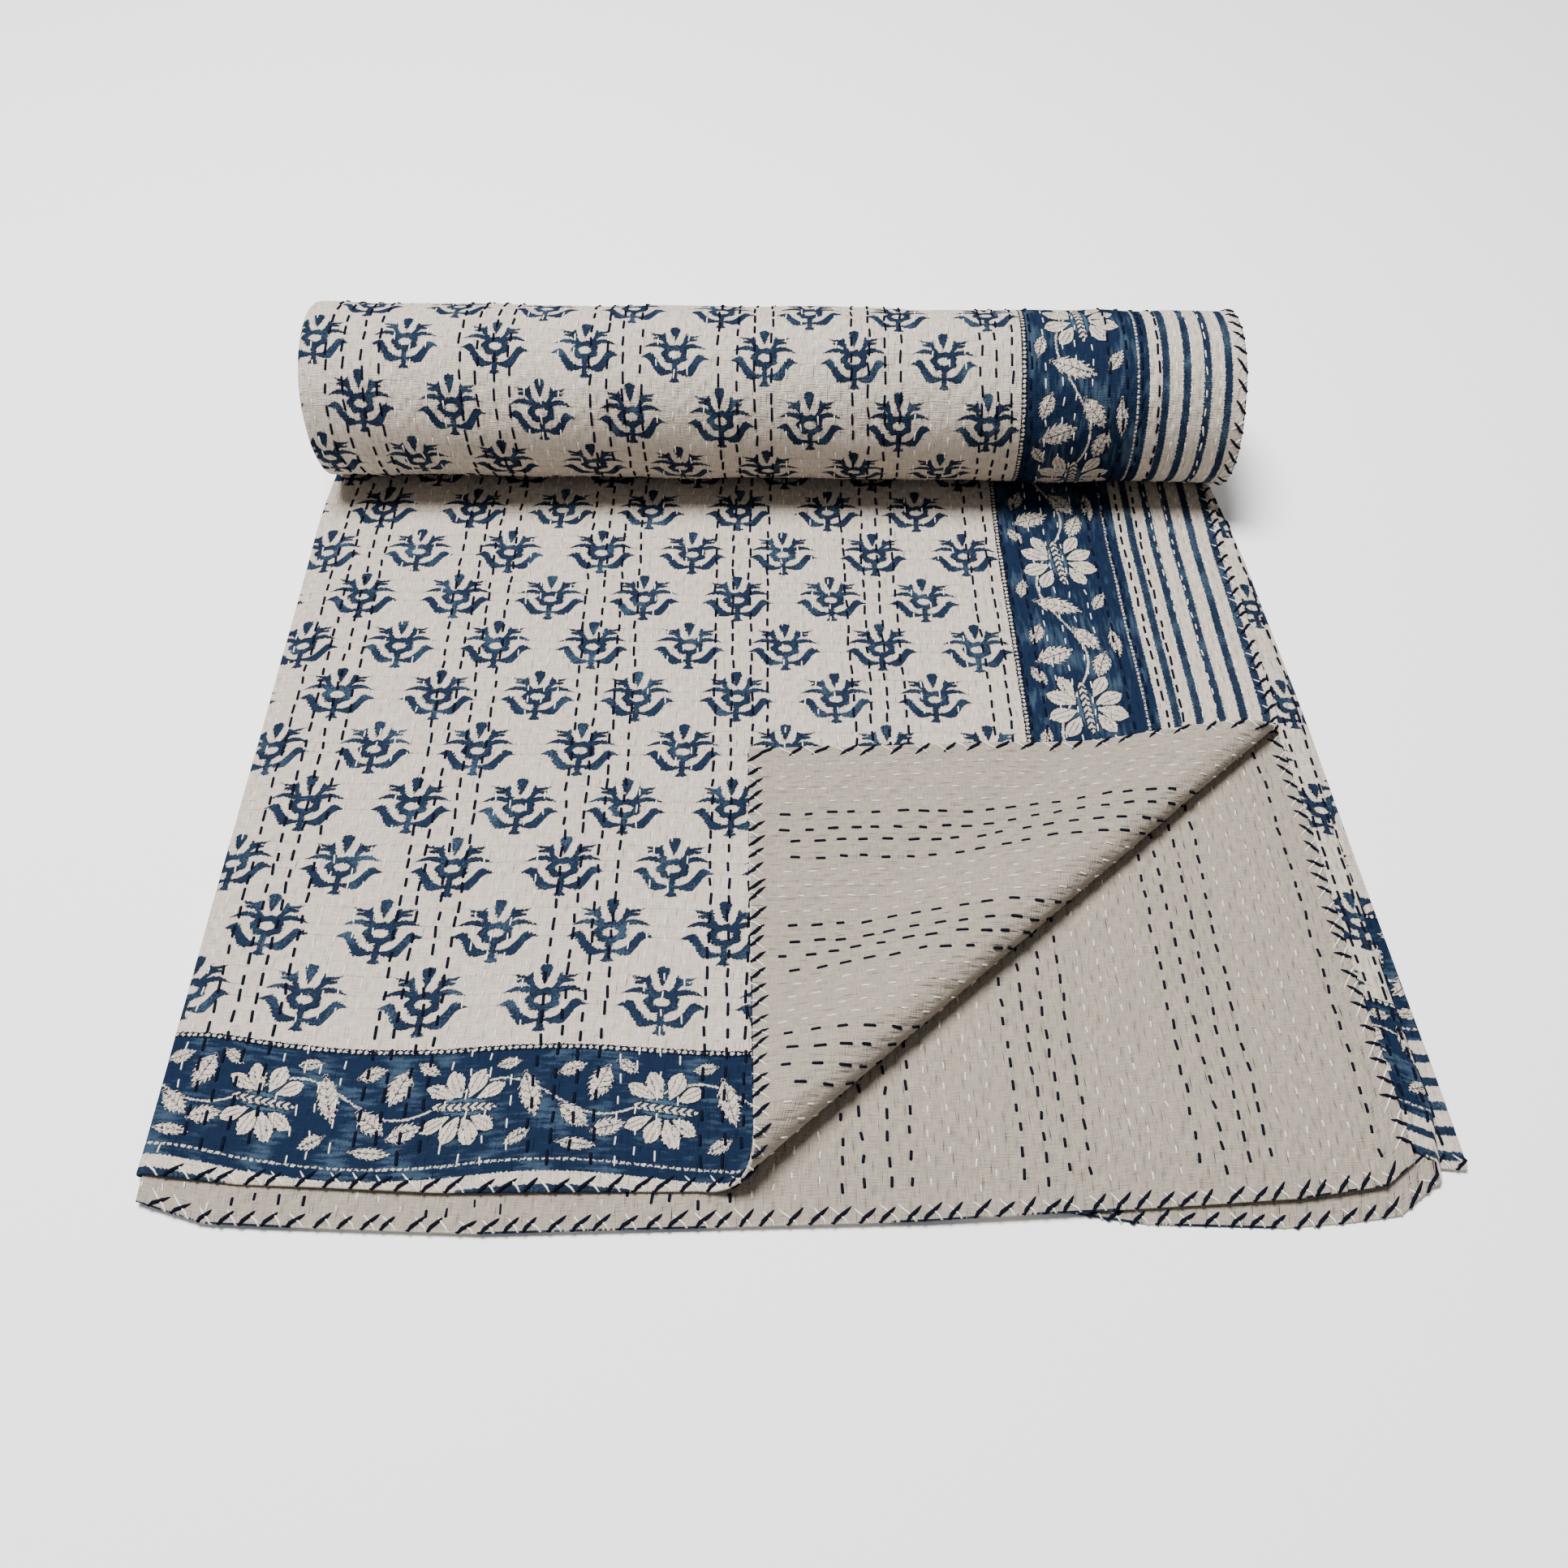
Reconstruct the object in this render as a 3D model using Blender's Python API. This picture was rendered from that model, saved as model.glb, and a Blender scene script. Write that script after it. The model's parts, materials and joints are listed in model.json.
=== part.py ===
"""Kantha quilt, folded to eight layers with its far end wound into a roll on top of the flat part.

The cloth is folded in half across its width twice and once crosswise. The crosswise fold is rolled over
the top towards the front, and the front right corner of the top layer is turned back. The eight layers
are two back-and-forth sections of four, an upper and a lower one, which join the roll under its axis.

X runs across the bundle, Y from its front hems to the roll and Z up. The tables below are measured from
the middle of the bundle's width and from the front hem of the top layer; ORIGIN moves that point so that
the object's own origin is the middle of its footprint, on the surface that it lies on.
"""

import math

import bmesh
import bpy
import numpy as np
from mathutils import Vector

ORIGIN = (0.0177, 0.2693)  # middle of the footprint, in the tables' coordinates

# The cloth and its stack
CLOTH = 0.0010  # thickness of the quilted cloth
PITCH = 0.00125  # from one layer to the next
LAYERS = 8
STACK = LAYERS * PITCH  # one turn of the roll

# The roll
ROLL_RADIUS = 0.0585  # of the outermost wrap where it leaves the surface
ROLL_Y = 0.500
ROLL_LEFT, ROLL_RIGHT = -0.2805, 0.2857
ROLL_STEPS = 60
ROLL_GRIP = 0.004  # how far the layers run into the roll
ROLL_FLAT = 0.0052  # small flat spot behind the place where the roll leaves the surface

# Left-hand folds, where a section turns back: the outer fold wraps round the inner one
UPPER_OUTER_LEFT, UPPER_INNER_LEFT = -0.2855, -0.2828
LOWER_OUTER_LEFT, LOWER_INNER_LEFT = -0.2740, -0.2713

# Right-hand edges at stations along the bundle. "fold" is where two layers turn into each other.
RIGHT_COLUMNS = ("y", "layer_1_hem", "layer_2_hem", "upper_fold", "lower_fold", "layer_7_hem", "layer_8_hem")
RIGHT_EDGES = (
    (-0.020, 0.2855, 0.2950, 0.3040, 0.3215, 0.2840, 0.2850),
    (0.030, 0.2855, 0.2945, 0.3110, 0.3200, 0.2840, 0.2850),
    (0.100, 0.2860, 0.2910, 0.3070, 0.3160, 0.2840, 0.2850),
    (0.200, 0.2865, 0.2890, 0.3035, 0.3105, 0.2840, 0.2850),
    (0.290, 0.2870, 0.2840, 0.3020, 0.3060, 0.2840, 0.2850),
    (0.420, 0.2835, 0.2830, 0.2930, 0.2960, 0.2840, 0.2850),
    (0.500, 0.2840, 0.2830, 0.2840, 0.2845, 0.2835, 0.2850),
)

# How far each layer's front hem lies from the top layer's, at places across the bundle: (x, y)
FRONT_HEMS = {
    1: ((-0.285, 0.008), (-0.240, 0.003), (-0.150, -0.001), (0.285, 0.004)),
    4: (
        (-0.285, 0.008), (-0.200, 0.014), (0.080, 0.004), (0.160, -0.012),
        (0.240, -0.014), (0.285, -0.008), (0.304, 0.006),
    ),
    3: ((-0.283, -0.004), (-0.220, 0.018), (0.295, 0.022), (0.311, 0.014)),
    2: (
        (-0.283, -0.004), (-0.250, -0.014), (-0.130, -0.018), (0.070, -0.012),
        (0.240, -0.002), (0.280, 0.004), (0.295, 0.015),
    ),
    5: ((-0.274, 0.034), (0.250, 0.032), (0.295, 0.015), (0.3215, 0.013)),
    6: ((-0.272, 0.034), (0.270, 0.032), (0.3215, 0.017)),
    7: ((-0.272, 0.034), (0.284, 0.034)),
    8: ((-0.274, 0.034), (0.285, 0.034)),
}
HEM_FADE = 0.30  # past this the layers lie true, whatever their hems do

# Where nothing lies under it the cloth sinks: at the front by layer, at the right and at the left
FRONT_SINK = {1: 0.0049, 2: 0.0049, 3: 0.0049, 4: 0.0049, 5: 0.0048, 6: 0.0048, 7: 0.0, 8: 0.0}
FRONT_SINK_FROM, FRONT_SINK_TO = 0.040, -0.020
RIGHT_SINK, RIGHT_SINK_FROM, RIGHT_SINK_TO = 0.0022, 0.284, 0.314
LEFT_SINK, LEFT_SINK_FROM, LEFT_SINK_TO = 0.0034, -0.262, -0.286
SIDE_SINK_ENDS = (0.380, 0.470)  # the sides lie level again under the roll

# The corner of the top layer, turned back over a soft diagonal fold
FOLD_START = (-0.012, 0.002)  # where the fold's edge crosses the front hem
FOLD_ANGLE = math.radians(42.1)
FOLD_RADIUS_FRONT, FOLD_RADIUS_BACK, FOLD_LENGTH = 0.0125, 0.0085, 0.39
FOLD_STEPS = 6
CORNER_SLIP = 0.262  # how far the turned cloth slips forwards along the fold, per metre turned
SETTLE = (0.012, 0.026, 0.042, 0.062)  # from the fold to where the turned cloth lies flat
TURNED_REST = 0.00135  # height of the turned cloth above the top layer, middle to middle


def smooth(t):
    """0 below 0, 1 above 1, with a soft start and end."""
    t = np.clip(t, 0.0, 1.0)
    return t * t * (3.0 - 2.0 * t)


def right_edge(name, y):
    rows = np.array(RIGHT_EDGES)
    return np.interp(y, rows[:, 0], rows[:, RIGHT_COLUMNS.index(name)])


def front_hem(layer, x):
    rows = np.array(FRONT_HEMS[layer])
    return np.interp(x, rows[:, 0], rows[:, 1])


def level(layer):
    """Height of a layer's middle where it lies flat."""
    return CLOTH / 2 + (LAYERS - layer) * PITCH


def sunk(x, y, z, layer_sink):
    """Height of a point once the cloth has sunk where the layers below it end."""
    ends = 1.0 - smooth((y - SIDE_SINK_ENDS[0]) / (SIDE_SINK_ENDS[1] - SIDE_SINK_ENDS[0]))
    front = layer_sink * smooth((FRONT_SINK_FROM - y) / (FRONT_SINK_FROM - FRONT_SINK_TO))
    over_right = np.clip((z - level(8)) / (2 * PITCH), 0.0, 1.0)
    over_left = np.clip((z - level(6)) / (2 * PITCH), 0.0, 1.0)
    right = RIGHT_SINK * over_right * smooth((x - RIGHT_SINK_FROM) / (RIGHT_SINK_TO - RIGHT_SINK_FROM))
    left = LEFT_SINK * over_left * smooth((LEFT_SINK_FROM - x) / (LEFT_SINK_FROM - LEFT_SINK_TO))
    return z - np.maximum(front, (right + left) * ends)


class Section:
    """Four layers as one back-and-forth section: outer layer, left fold, layer, right fold, layer,
    inner left fold, layer. A place on it is u, from 0 to 7: each layer and each fold is one unit wide.
    """

    def __init__(self, layers, left, hems):
        self.layers = layers  # in the order in which the cloth runs
        self.outer_left, self.inner_left = left
        self.hems = hems  # right-hand ends of the outer layer, the right fold and the last layer

    def span(self, piece, y):
        """The two ends in x of a layer's straight part."""
        outer, after, before, inner = (level(k) for k in self.layers)
        outer_left = self.outer_left + abs(outer - after) / 2
        inner_left = self.inner_left + abs(before - inner) / 2
        fold_right = right_edge(self.hems[1], y) - abs(after - before) / 2
        ends = (
            (right_edge(self.hems[0], y), outer_left),
            (outer_left, fold_right),
            (fold_right, inner_left),
            (inner_left, right_edge(self.hems[2], y)),
        )
        return ends[piece]

    def place(self, u, v):
        """x, y, z and how far the front of the cloth sinks, for places u across and v from the hem."""
        x, z, hem, sink = (np.zeros_like(u) for _ in range(4))
        for piece, layer in enumerate(self.layers):
            start, end = self.span(piece, v)
            inside = (u >= 2 * piece) & (u <= 2 * piece + 1)
            along = start + (end - start) * (u - 2 * piece)
            x = np.where(inside, along, x)
            z = np.where(inside, level(layer), z)
            hem = np.where(inside, front_hem(layer, along), hem)
            sink = np.where(inside, FRONT_SINK[layer], sink)
        for fold in range(3):
            before, after = self.layers[fold], self.layers[fold + 1]
            inside = (u > 2 * fold + 1) & (u < 2 * fold + 2)
            turn = math.pi * (u - 2 * fold - 1)
            centre = self.span(fold, v)[1]
            radius = (level(before) - level(after)) / 2
            side = 1.0 if fold == 1 else -1.0
            share = (1.0 - np.cos(turn)) / 2
            x = np.where(inside, centre + side * abs(radius) * np.sin(turn), x)
            z = np.where(inside, (level(before) + level(after)) / 2 + radius * np.cos(turn), z)
            hem_before, hem_after = front_hem(before, centre), front_hem(after, centre)
            hem = np.where(inside, hem_before + (hem_after - hem_before) * share, hem)
            sink = np.where(inside, FRONT_SINK[before] * (1 - share) + FRONT_SINK[after] * share, sink)
        y = v + hem * (1.0 - smooth(v / HEM_FADE))
        return x, y, z, sink


def fold_radius(a):
    return FOLD_RADIUS_FRONT + (FOLD_RADIUS_BACK - FOLD_RADIUS_FRONT) * a / FOLD_LENGTH


def turn_corner(x, y):
    """Moves the top layer's places that lie past the diagonal fold: new x and y, and the height gained."""
    along = (math.cos(FOLD_ANGLE), math.sin(FOLD_ANGLE))
    outward = (along[1], -along[0])
    dx, dy = x - FOLD_START[0], y - FOLD_START[1]
    a, q = dx * along[0] + dy * along[1], dx * outward[0] + dy * outward[1]
    radius = fold_radius(a)
    past = q + radius  # how far past the line where the fold begins
    angle = np.clip(past / radius, 0.0, math.pi)
    flat_past = np.maximum(past - math.pi * radius, 0.0)
    new_q = np.where(past > 0, -radius + radius * np.sin(angle) - flat_past, q)
    new_a = a - CORNER_SLIP * np.maximum(past, 0.0)
    lowered = smooth(flat_past / SETTLE[-1])
    rise = radius * (1.0 - np.cos(angle)) * (1.0 - lowered) + TURNED_REST * lowered
    new_x = FOLD_START[0] + new_a * along[0] + new_q * outward[0]
    new_y = FOLD_START[1] + new_a * along[1] + new_q * outward[1]
    return new_x, new_y, np.where(past > 0, rise, 0.0)


UPPER = Section(
    (1, 4, 3, 2), (UPPER_OUTER_LEFT, UPPER_INNER_LEFT), ("layer_1_hem", "upper_fold", "layer_2_hem")
)
LOWER = Section(
    (8, 5, 6, 7), (LOWER_OUTER_LEFT, LOWER_INNER_LEFT), ("layer_8_hem", "lower_fold", "layer_7_hem")
)


def middle(section, u, v):
    """The middle of the cloth at places (u, v), as points in the object's frame."""
    x, y, z, sink = section.place(u, v)
    rise = np.zeros_like(x)
    if section is UPPER:
        turned_x, turned_y, turned_rise = turn_corner(x, y)
        top = u <= 1.0
        x, y = np.where(top, turned_x, x), np.where(top, turned_y, y)
        rise = np.where(top, turned_rise, rise)
    return np.stack([x - ORIGIN[0], y - ORIGIN[1], sunk(x, y, z, sink) + rise], axis=1)


def cloth_points(section, u, v, offset):
    """Points at an offset from the middle of the cloth, square to it."""
    step_u, step_v = 1e-4, 1e-5
    across = middle(section, u + step_u, v) - middle(section, u - step_u, v)
    along = middle(section, u, v + step_v) - middle(section, u, v - step_v)
    normal = np.cross(along, across)
    normal /= np.linalg.norm(normal, axis=1)[:, None]
    return middle(section, u, v) + normal * offset[:, None]


def flat_slab(us, vs):
    """A closed slab in pattern coordinates: x is u, y is v, and z is the offset from the middle."""
    bm = bmesh.new()
    grid = [[[bm.verts.new((u, v, side * CLOTH / 2)) for v in vs] for u in us] for side in (-1, 1)]
    last_u, last_v = len(us) - 1, len(vs) - 1
    for i in range(last_u):
        for j in range(last_v):
            for side in grid:
                bm.faces.new((side[i][j], side[i + 1][j], side[i + 1][j + 1], side[i][j + 1]))
    low, high = grid
    for i in range(last_u):
        for j in (0, last_v):
            bm.faces.new((low[i][j], low[i + 1][j], high[i + 1][j], high[i][j]))
    for j in range(last_v):
        for i in (0, last_u):
            bm.faces.new((low[i][j], low[i][j + 1], high[i][j + 1], high[i][j]))
    bmesh.ops.recalc_face_normals(bm, faces=bm.faces)
    return bm


def u_lines(parts):
    """Lines across a section: each layer in its number of parts, each fold in six."""
    lines = [0.0]
    for index, count in enumerate(parts):
        lines += [2 * index + n / count for n in range(1, count + 1)]
        if index < 3:
            lines += [2 * index + 1 + n / 6 for n in range(1, 7)]
    return lines


def diagonal_line(bm, section, turned, settled):
    """Cuts the top layer along one line of the turned corner: at an angle round the fold, then a length."""

    def pattern(a):
        radius = fold_radius(a)
        q = -radius + turned * radius + settled
        x = FOLD_START[0] + a * math.cos(FOLD_ANGLE) + q * math.sin(FOLD_ANGLE)
        y = FOLD_START[1] + a * math.sin(FOLD_ANGLE) - q * math.cos(FOLD_ANGLE)
        right, left = (float(end) for end in section.span(0, 0.1))
        return Vector(((right - x) / (right - left), y, 0.0))

    start, end = pattern(0.0), pattern(FOLD_LENGTH)
    normal = Vector((-(end - start).y, (end - start).x, 0.0)).normalized()
    faces = [f for f in bm.faces if f.calc_center_median().x < 1.0]
    edges = list({e for f in faces for e in f.edges})
    verts = list({w for f in faces for w in f.verts})
    bmesh.ops.bisect_plane(bm, geom=faces + edges + verts, dist=1e-6, plane_co=start, plane_no=normal)


def section_mesh(section, parts, vs):
    """One section of four layers as a closed mesh."""
    bm = flat_slab(u_lines(parts), vs)
    if section is UPPER:
        for n in range(FOLD_STEPS + 1):
            diagonal_line(bm, section, math.pi * n / FOLD_STEPS, 0.0)
        for length in SETTLE:
            diagonal_line(bm, section, math.pi, length)
    bmesh.ops.triangulate(bm, faces=bm.faces)
    pattern = np.array([w.co for w in bm.verts], dtype=float)
    placed = cloth_points(section, pattern[:, 0], pattern[:, 1], pattern[:, 2])
    for vert, point in zip(bm.verts, placed):
        vert.co = point
    return facing_out(bm)


def layers_object(name, sections):
    """The sections as one object, which the roll joins."""
    both = bmesh.new()
    for bm in sections:
        part_mesh = bpy.data.meshes.new(name)
        bm.to_mesh(part_mesh)
        bm.free()
        both.from_mesh(part_mesh)
        bpy.data.meshes.remove(part_mesh)
    return mesh_object(name, both)


def roll_object(name):
    """The wound roll as one solid: its outline closes in by one stack height in one turn."""
    bm = bmesh.new()
    outline = [(ROLL_Y - ORIGIN[1], 0.0), (ROLL_Y + ROLL_FLAT - ORIGIN[1], 0.0)]
    for n in range(1, ROLL_STEPS + 1):
        angle = 2 * math.pi * n / ROLL_STEPS
        radius = ROLL_RADIUS - STACK * n / ROLL_STEPS
        y = ROLL_Y + radius * math.sin(angle) - ORIGIN[1]
        outline.append((y, ROLL_RADIUS - radius * math.cos(angle)))
    left = bm.faces.new([bm.verts.new((ROLL_LEFT - ORIGIN[0], y, z)) for y, z in outline])
    grown = bmesh.ops.extrude_face_region(bm, geom=[left], use_keep_orig=True)
    moved = [g for g in grown["geom"] if isinstance(g, bmesh.types.BMVert)]
    bmesh.ops.translate(bm, verts=moved, vec=(ROLL_RIGHT - ROLL_LEFT, 0.0, 0.0))
    bmesh.ops.recalc_face_normals(bm, faces=bm.faces)
    return mesh_object(name, facing_out(bm))


def facing_out(bm):
    """A closed bmesh with its faces turned to point out."""
    if bm.calc_volume(signed=True) < 0:
        bmesh.ops.reverse_faces(bm, faces=bm.faces)
    return bm


def mesh_object(name, bm):
    mesh = bpy.data.meshes.new(name)
    bm.to_mesh(mesh)
    bm.free()
    obj = bpy.data.objects.new(name, mesh)
    bpy.context.collection.objects.link(obj)
    return obj


def join(body, other):
    """Unites another closed mesh with the body and leaves it out of the model itself."""
    union = body.modifiers.new("join_" + other.name, "BOOLEAN")
    union.operation = "UNION"
    union.solver = "MANIFOLD"  # EXACT loses the thin layers where they meet the roll
    union.object = other
    other.hide_render = True
    other.display_type = "WIRE"


def quilted_cotton():
    material = bpy.data.materials.new("quilted_cotton")
    material.use_nodes = True
    shader = material.node_tree.nodes["Principled BSDF"]
    shader.inputs["Base Color"].default_value = (0.52, 0.48, 0.41, 1.0)
    shader.inputs["Roughness"].default_value = 0.88
    shader.inputs["Metallic"].default_value = 0.0
    return material


def main():
    for obj in list(bpy.data.objects):
        bpy.data.objects.remove(obj)
    roll_end = ROLL_Y + ROLL_GRIP
    front_lines = [0.0, 0.012, 0.024, 0.036, 0.048, 0.064]
    upper_lines = front_lines + [0.10, 0.16, 0.22, 0.29, 0.36, 0.42, 0.47, roll_end]
    lower_lines = [0.0, 0.012, 0.030, 0.064, 0.13, 0.21, 0.29, 0.38, 0.47, roll_end]
    upper = section_mesh(UPPER, (10, 7, 6, 10), upper_lines)
    lower = section_mesh(LOWER, (4, 4, 4, 4), lower_lines)
    layers = layers_object("layers", (upper, lower))
    quilt = roll_object("quilt")
    join(quilt, layers)
    quilt.data.materials.append(quilted_cotton())


main()
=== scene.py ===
"""Looks of the folded kantha quilt: the whole cloth in its eight layers and its roll, its block print,
its quilting and its whip-stitched hems, with the floor, the light and the camera. X runs across the
bundle, Y from its front hems to the roll."""

import json
import math

import bpy
import numpy as np
from mathutils import Matrix

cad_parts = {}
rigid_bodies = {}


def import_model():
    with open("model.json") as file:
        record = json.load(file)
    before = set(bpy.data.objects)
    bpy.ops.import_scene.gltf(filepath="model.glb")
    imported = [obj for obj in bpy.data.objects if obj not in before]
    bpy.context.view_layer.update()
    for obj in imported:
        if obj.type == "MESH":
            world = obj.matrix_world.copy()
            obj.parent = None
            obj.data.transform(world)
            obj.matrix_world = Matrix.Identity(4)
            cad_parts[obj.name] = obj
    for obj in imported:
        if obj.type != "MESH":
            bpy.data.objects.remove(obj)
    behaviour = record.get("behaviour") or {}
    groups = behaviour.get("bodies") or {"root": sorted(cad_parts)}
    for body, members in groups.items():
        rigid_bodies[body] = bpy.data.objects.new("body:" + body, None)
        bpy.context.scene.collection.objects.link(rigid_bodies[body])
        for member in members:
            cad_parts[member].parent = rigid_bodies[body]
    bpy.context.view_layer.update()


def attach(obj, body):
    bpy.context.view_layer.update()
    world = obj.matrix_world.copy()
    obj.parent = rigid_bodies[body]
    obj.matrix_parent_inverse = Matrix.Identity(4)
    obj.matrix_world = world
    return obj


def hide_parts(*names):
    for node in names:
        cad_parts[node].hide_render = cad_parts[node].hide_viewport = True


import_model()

# ---------------------------------------------------------------- sizes, in metres, as in the model
ORIGIN = (0.0177, 0.2693)  # the object's origin, measured from the top layer's hem and middle
CLOTH = 0.0010  # the thickness of the quilted cloth
PITCH = 0.00125  # from layer to layer
LAYERS = 8
STACK = LAYERS * PITCH
ROLL_RADIUS = 0.0585
ROLL_Y = 0.500
ROLL_LEFT = -0.2805
UPPER_LEFT = (-0.2855, -0.2828)  # outer and inner left-hand fold of the upper four layers
LOWER_LEFT = (-0.2740, -0.2713)

# Where the right-hand hems and folds lie, by their distance from the top layer's front hem
RIGHT_COLUMNS = (
    "y", "layer_1_hem", "layer_2_hem", "upper_fold", "lower_fold", "layer_7_hem", "layer_8_hem",
)
RIGHT_EDGES = (
    (-0.020, 0.2855, 0.2950, 0.3040, 0.3215, 0.2840, 0.2850),
    (0.030, 0.2855, 0.2945, 0.3110, 0.3200, 0.2840, 0.2850),
    (0.100, 0.2860, 0.2910, 0.3070, 0.3160, 0.2840, 0.2850),
    (0.200, 0.2865, 0.2890, 0.3035, 0.3105, 0.2840, 0.2850),
    (0.290, 0.2870, 0.2840, 0.3020, 0.3060, 0.2840, 0.2850),
    (0.420, 0.2835, 0.2830, 0.2930, 0.2960, 0.2840, 0.2850),
    (0.500, 0.2840, 0.2830, 0.2840, 0.2845, 0.2835, 0.2850),
)
# The front hem of each layer, as rows of (x, y)
FRONT_HEMS = {
    1: ((-0.285, 0.008), (-0.240, 0.003), (-0.150, -0.001), (0.285, 0.004)),
    4: (
        (-0.285, 0.008), (-0.200, 0.014), (0.080, 0.004), (0.160, -0.012),
        (0.240, -0.014), (0.285, -0.008), (0.304, 0.006),
    ),
    3: ((-0.283, -0.004), (-0.220, 0.018), (0.295, 0.022), (0.311, 0.014)),
    2: (
        (-0.283, -0.004), (-0.250, -0.014), (-0.130, -0.018), (0.070, -0.012),
        (0.240, -0.002), (0.280, 0.004), (0.295, 0.015),
    ),
    5: ((-0.274, 0.034), (0.250, 0.032), (0.295, 0.015), (0.3215, 0.013)),
    6: ((-0.272, 0.034), (0.270, 0.032), (0.3215, 0.017)),
    7: ((-0.272, 0.034), (0.284, 0.034)),
    8: ((-0.274, 0.034), (0.285, 0.034)),
}
HEM_FADE = 0.30  # the length over which a hem's slant fades out
# The open front hems of the top layer and of layer 2 stand a little off the layer below, in soft waves
HEM_LIFT, HEM_WAVES, HEM_WAVE_SHARE = 0.0026, 30.0, 0.3
HEM_LIFT_FROM, HEM_LIFT_FADE = -0.01, 0.060
OPEN_LIFT, OPEN_LIFT_FROM, OPEN_LIFT_FADE = 0.8, 0.04, 0.08
# The layers sink where the layers below them end
FRONT_SINK = {1: 0.0049, 2: 0.0049, 3: 0.0049, 4: 0.0049, 5: 0.0048, 6: 0.0048, 7: 0.0, 8: 0.0}
FRONT_SINK_FROM, FRONT_SINK_TO = 0.040, -0.020
RIGHT_SINK, RIGHT_SINK_FROM, RIGHT_SINK_TO = 0.0022, 0.284, 0.314
LEFT_SINK, LEFT_SINK_FROM, LEFT_SINK_TO = 0.0034, -0.262, -0.286
SIDE_SINK_ENDS = (0.380, 0.470)
NARROWS_FROM, NARROWS_OVER = 0.42, 0.10  # the bundle narrows to the roll's width here

# The diagonal fold of the top layer's corner
FOLD_START = (-0.012, 0.002)
FOLD_ANGLE = math.radians(42.1)
FOLD_RADIUS_FRONT, FOLD_RADIUS_BACK, FOLD_LENGTH = 0.0125, 0.0085, 0.39
CORNER_SLIP = 0.262  # how far the turned corner slides along the fold for its distance past it
CORNER_REACH = 0.45  # what turns lies nearer the front hem than this
SETTLE_LENGTH = 0.062  # the length in which the turned corner comes down on the top layer
TURNED_REST = 0.00135  # from the top layer's middle up to that of the corner lying on it

# The flat cloth: U runs across its width from the top layer's right hem, V along its length from that
# layer's front hem. Each layer takes a stretch of U, and each fold between two layers a short one. S
# holds where these stretches end: S[0] to S[1] is layer 1, S[2] to S[3] layer 4, S[4] to S[5] layer 3 and
# S[6] to S[7] layer 2.
LAYER_WIDTHS = (0.5705, 0.5850, 0.5850, 0.5730)
FOLD_WIDTHS = (0.0059, 0.0020, 0.0020, 0.0)
S = np.concatenate([[0.0], np.cumsum([w for pair in zip(LAYER_WIDTHS, FOLD_WIDTHS) for w in pair])[:7]])
WIDTH = float(S[-1])
CORE_TURN = 0.0070  # half the length of cloth that goes round the crosswise fold
HALF_LENGTH = 1.3566  # from a hem to the middle of the crosswise fold
LENGTH = 2 * HALF_LENGTH
# The print on the roll: its scale along V, and how far it is out of step with the near end along V and U
FAR_SCALE, FAR_SHIFT, FAR_DRIFT = 1.03, 0.0016, 0.008
FAR_SKEW, FAR_SKEW_WIDTH = 0.040, 0.30
# How much wider the top layer's print is, at its hem and at SPREAD_TO, and where this fades out
SPREAD_NEAR, SPREAD_FAR, SPREAD_TO = 0.070, 0.041, 0.33
SPREAD_FADE_U, SPREAD_FADE_V = 0.40, 0.20
# The wave of the print along the front hem
WAVE_HEIGHT, WAVE_TOP, WAVE_LENGTH, WAVE_FADE = 0.0036, 0.572, 0.184, 0.22
# The roll's share of the unevenness, which sets in over this angle, and the arm that turns its angle into
# a length; then the sideways wander of its turns
ROLL_UNEVEN, UNEVEN_FROM, ROLL_ARM = 0.25, 1.5, 0.06
WANDER, WANDER_RATE, WANDER_FROM = 0.0018, 1.3, 3.0


def smooth(t):
    """0 below 0, 1 above 1, with a soft start and end."""
    t = np.clip(t, 0.0, 1.0)
    return t * t * (3.0 - 2.0 * t)


def right_edge(name, y):
    rows = np.array(RIGHT_EDGES)
    return np.interp(y, rows[:, 0], rows[:, RIGHT_COLUMNS.index(name)])


def front_hem(layer, x):
    rows = np.array(FRONT_HEMS[layer])
    return np.interp(x, rows[:, 0], rows[:, 1])


def level(layer):
    return CLOTH / 2 + (LAYERS - layer) * PITCH


MIDDLE_LEVEL = (level(4) + level(5)) / 2


def sunk(x, y, z, layer_sink):
    """Height of a point once the cloth has sunk where the layers below it end."""
    ends = 1.0 - smooth((y - SIDE_SINK_ENDS[0]) / (SIDE_SINK_ENDS[1] - SIDE_SINK_ENDS[0]))
    front = layer_sink * smooth((FRONT_SINK_FROM - y) / (FRONT_SINK_FROM - FRONT_SINK_TO))
    over_right = np.clip((z - level(8)) / (2 * PITCH), 0.0, 1.0)
    over_left = np.clip((z - level(6)) / (2 * PITCH), 0.0, 1.0)
    right = RIGHT_SINK * over_right * smooth((x - RIGHT_SINK_FROM) / (RIGHT_SINK_TO - RIGHT_SINK_FROM))
    left = LEFT_SINK * over_left * smooth((LEFT_SINK_FROM - x) / (LEFT_SINK_FROM - LEFT_SINK_TO))
    return z - np.maximum(front, (right + left) * ends)


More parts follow.
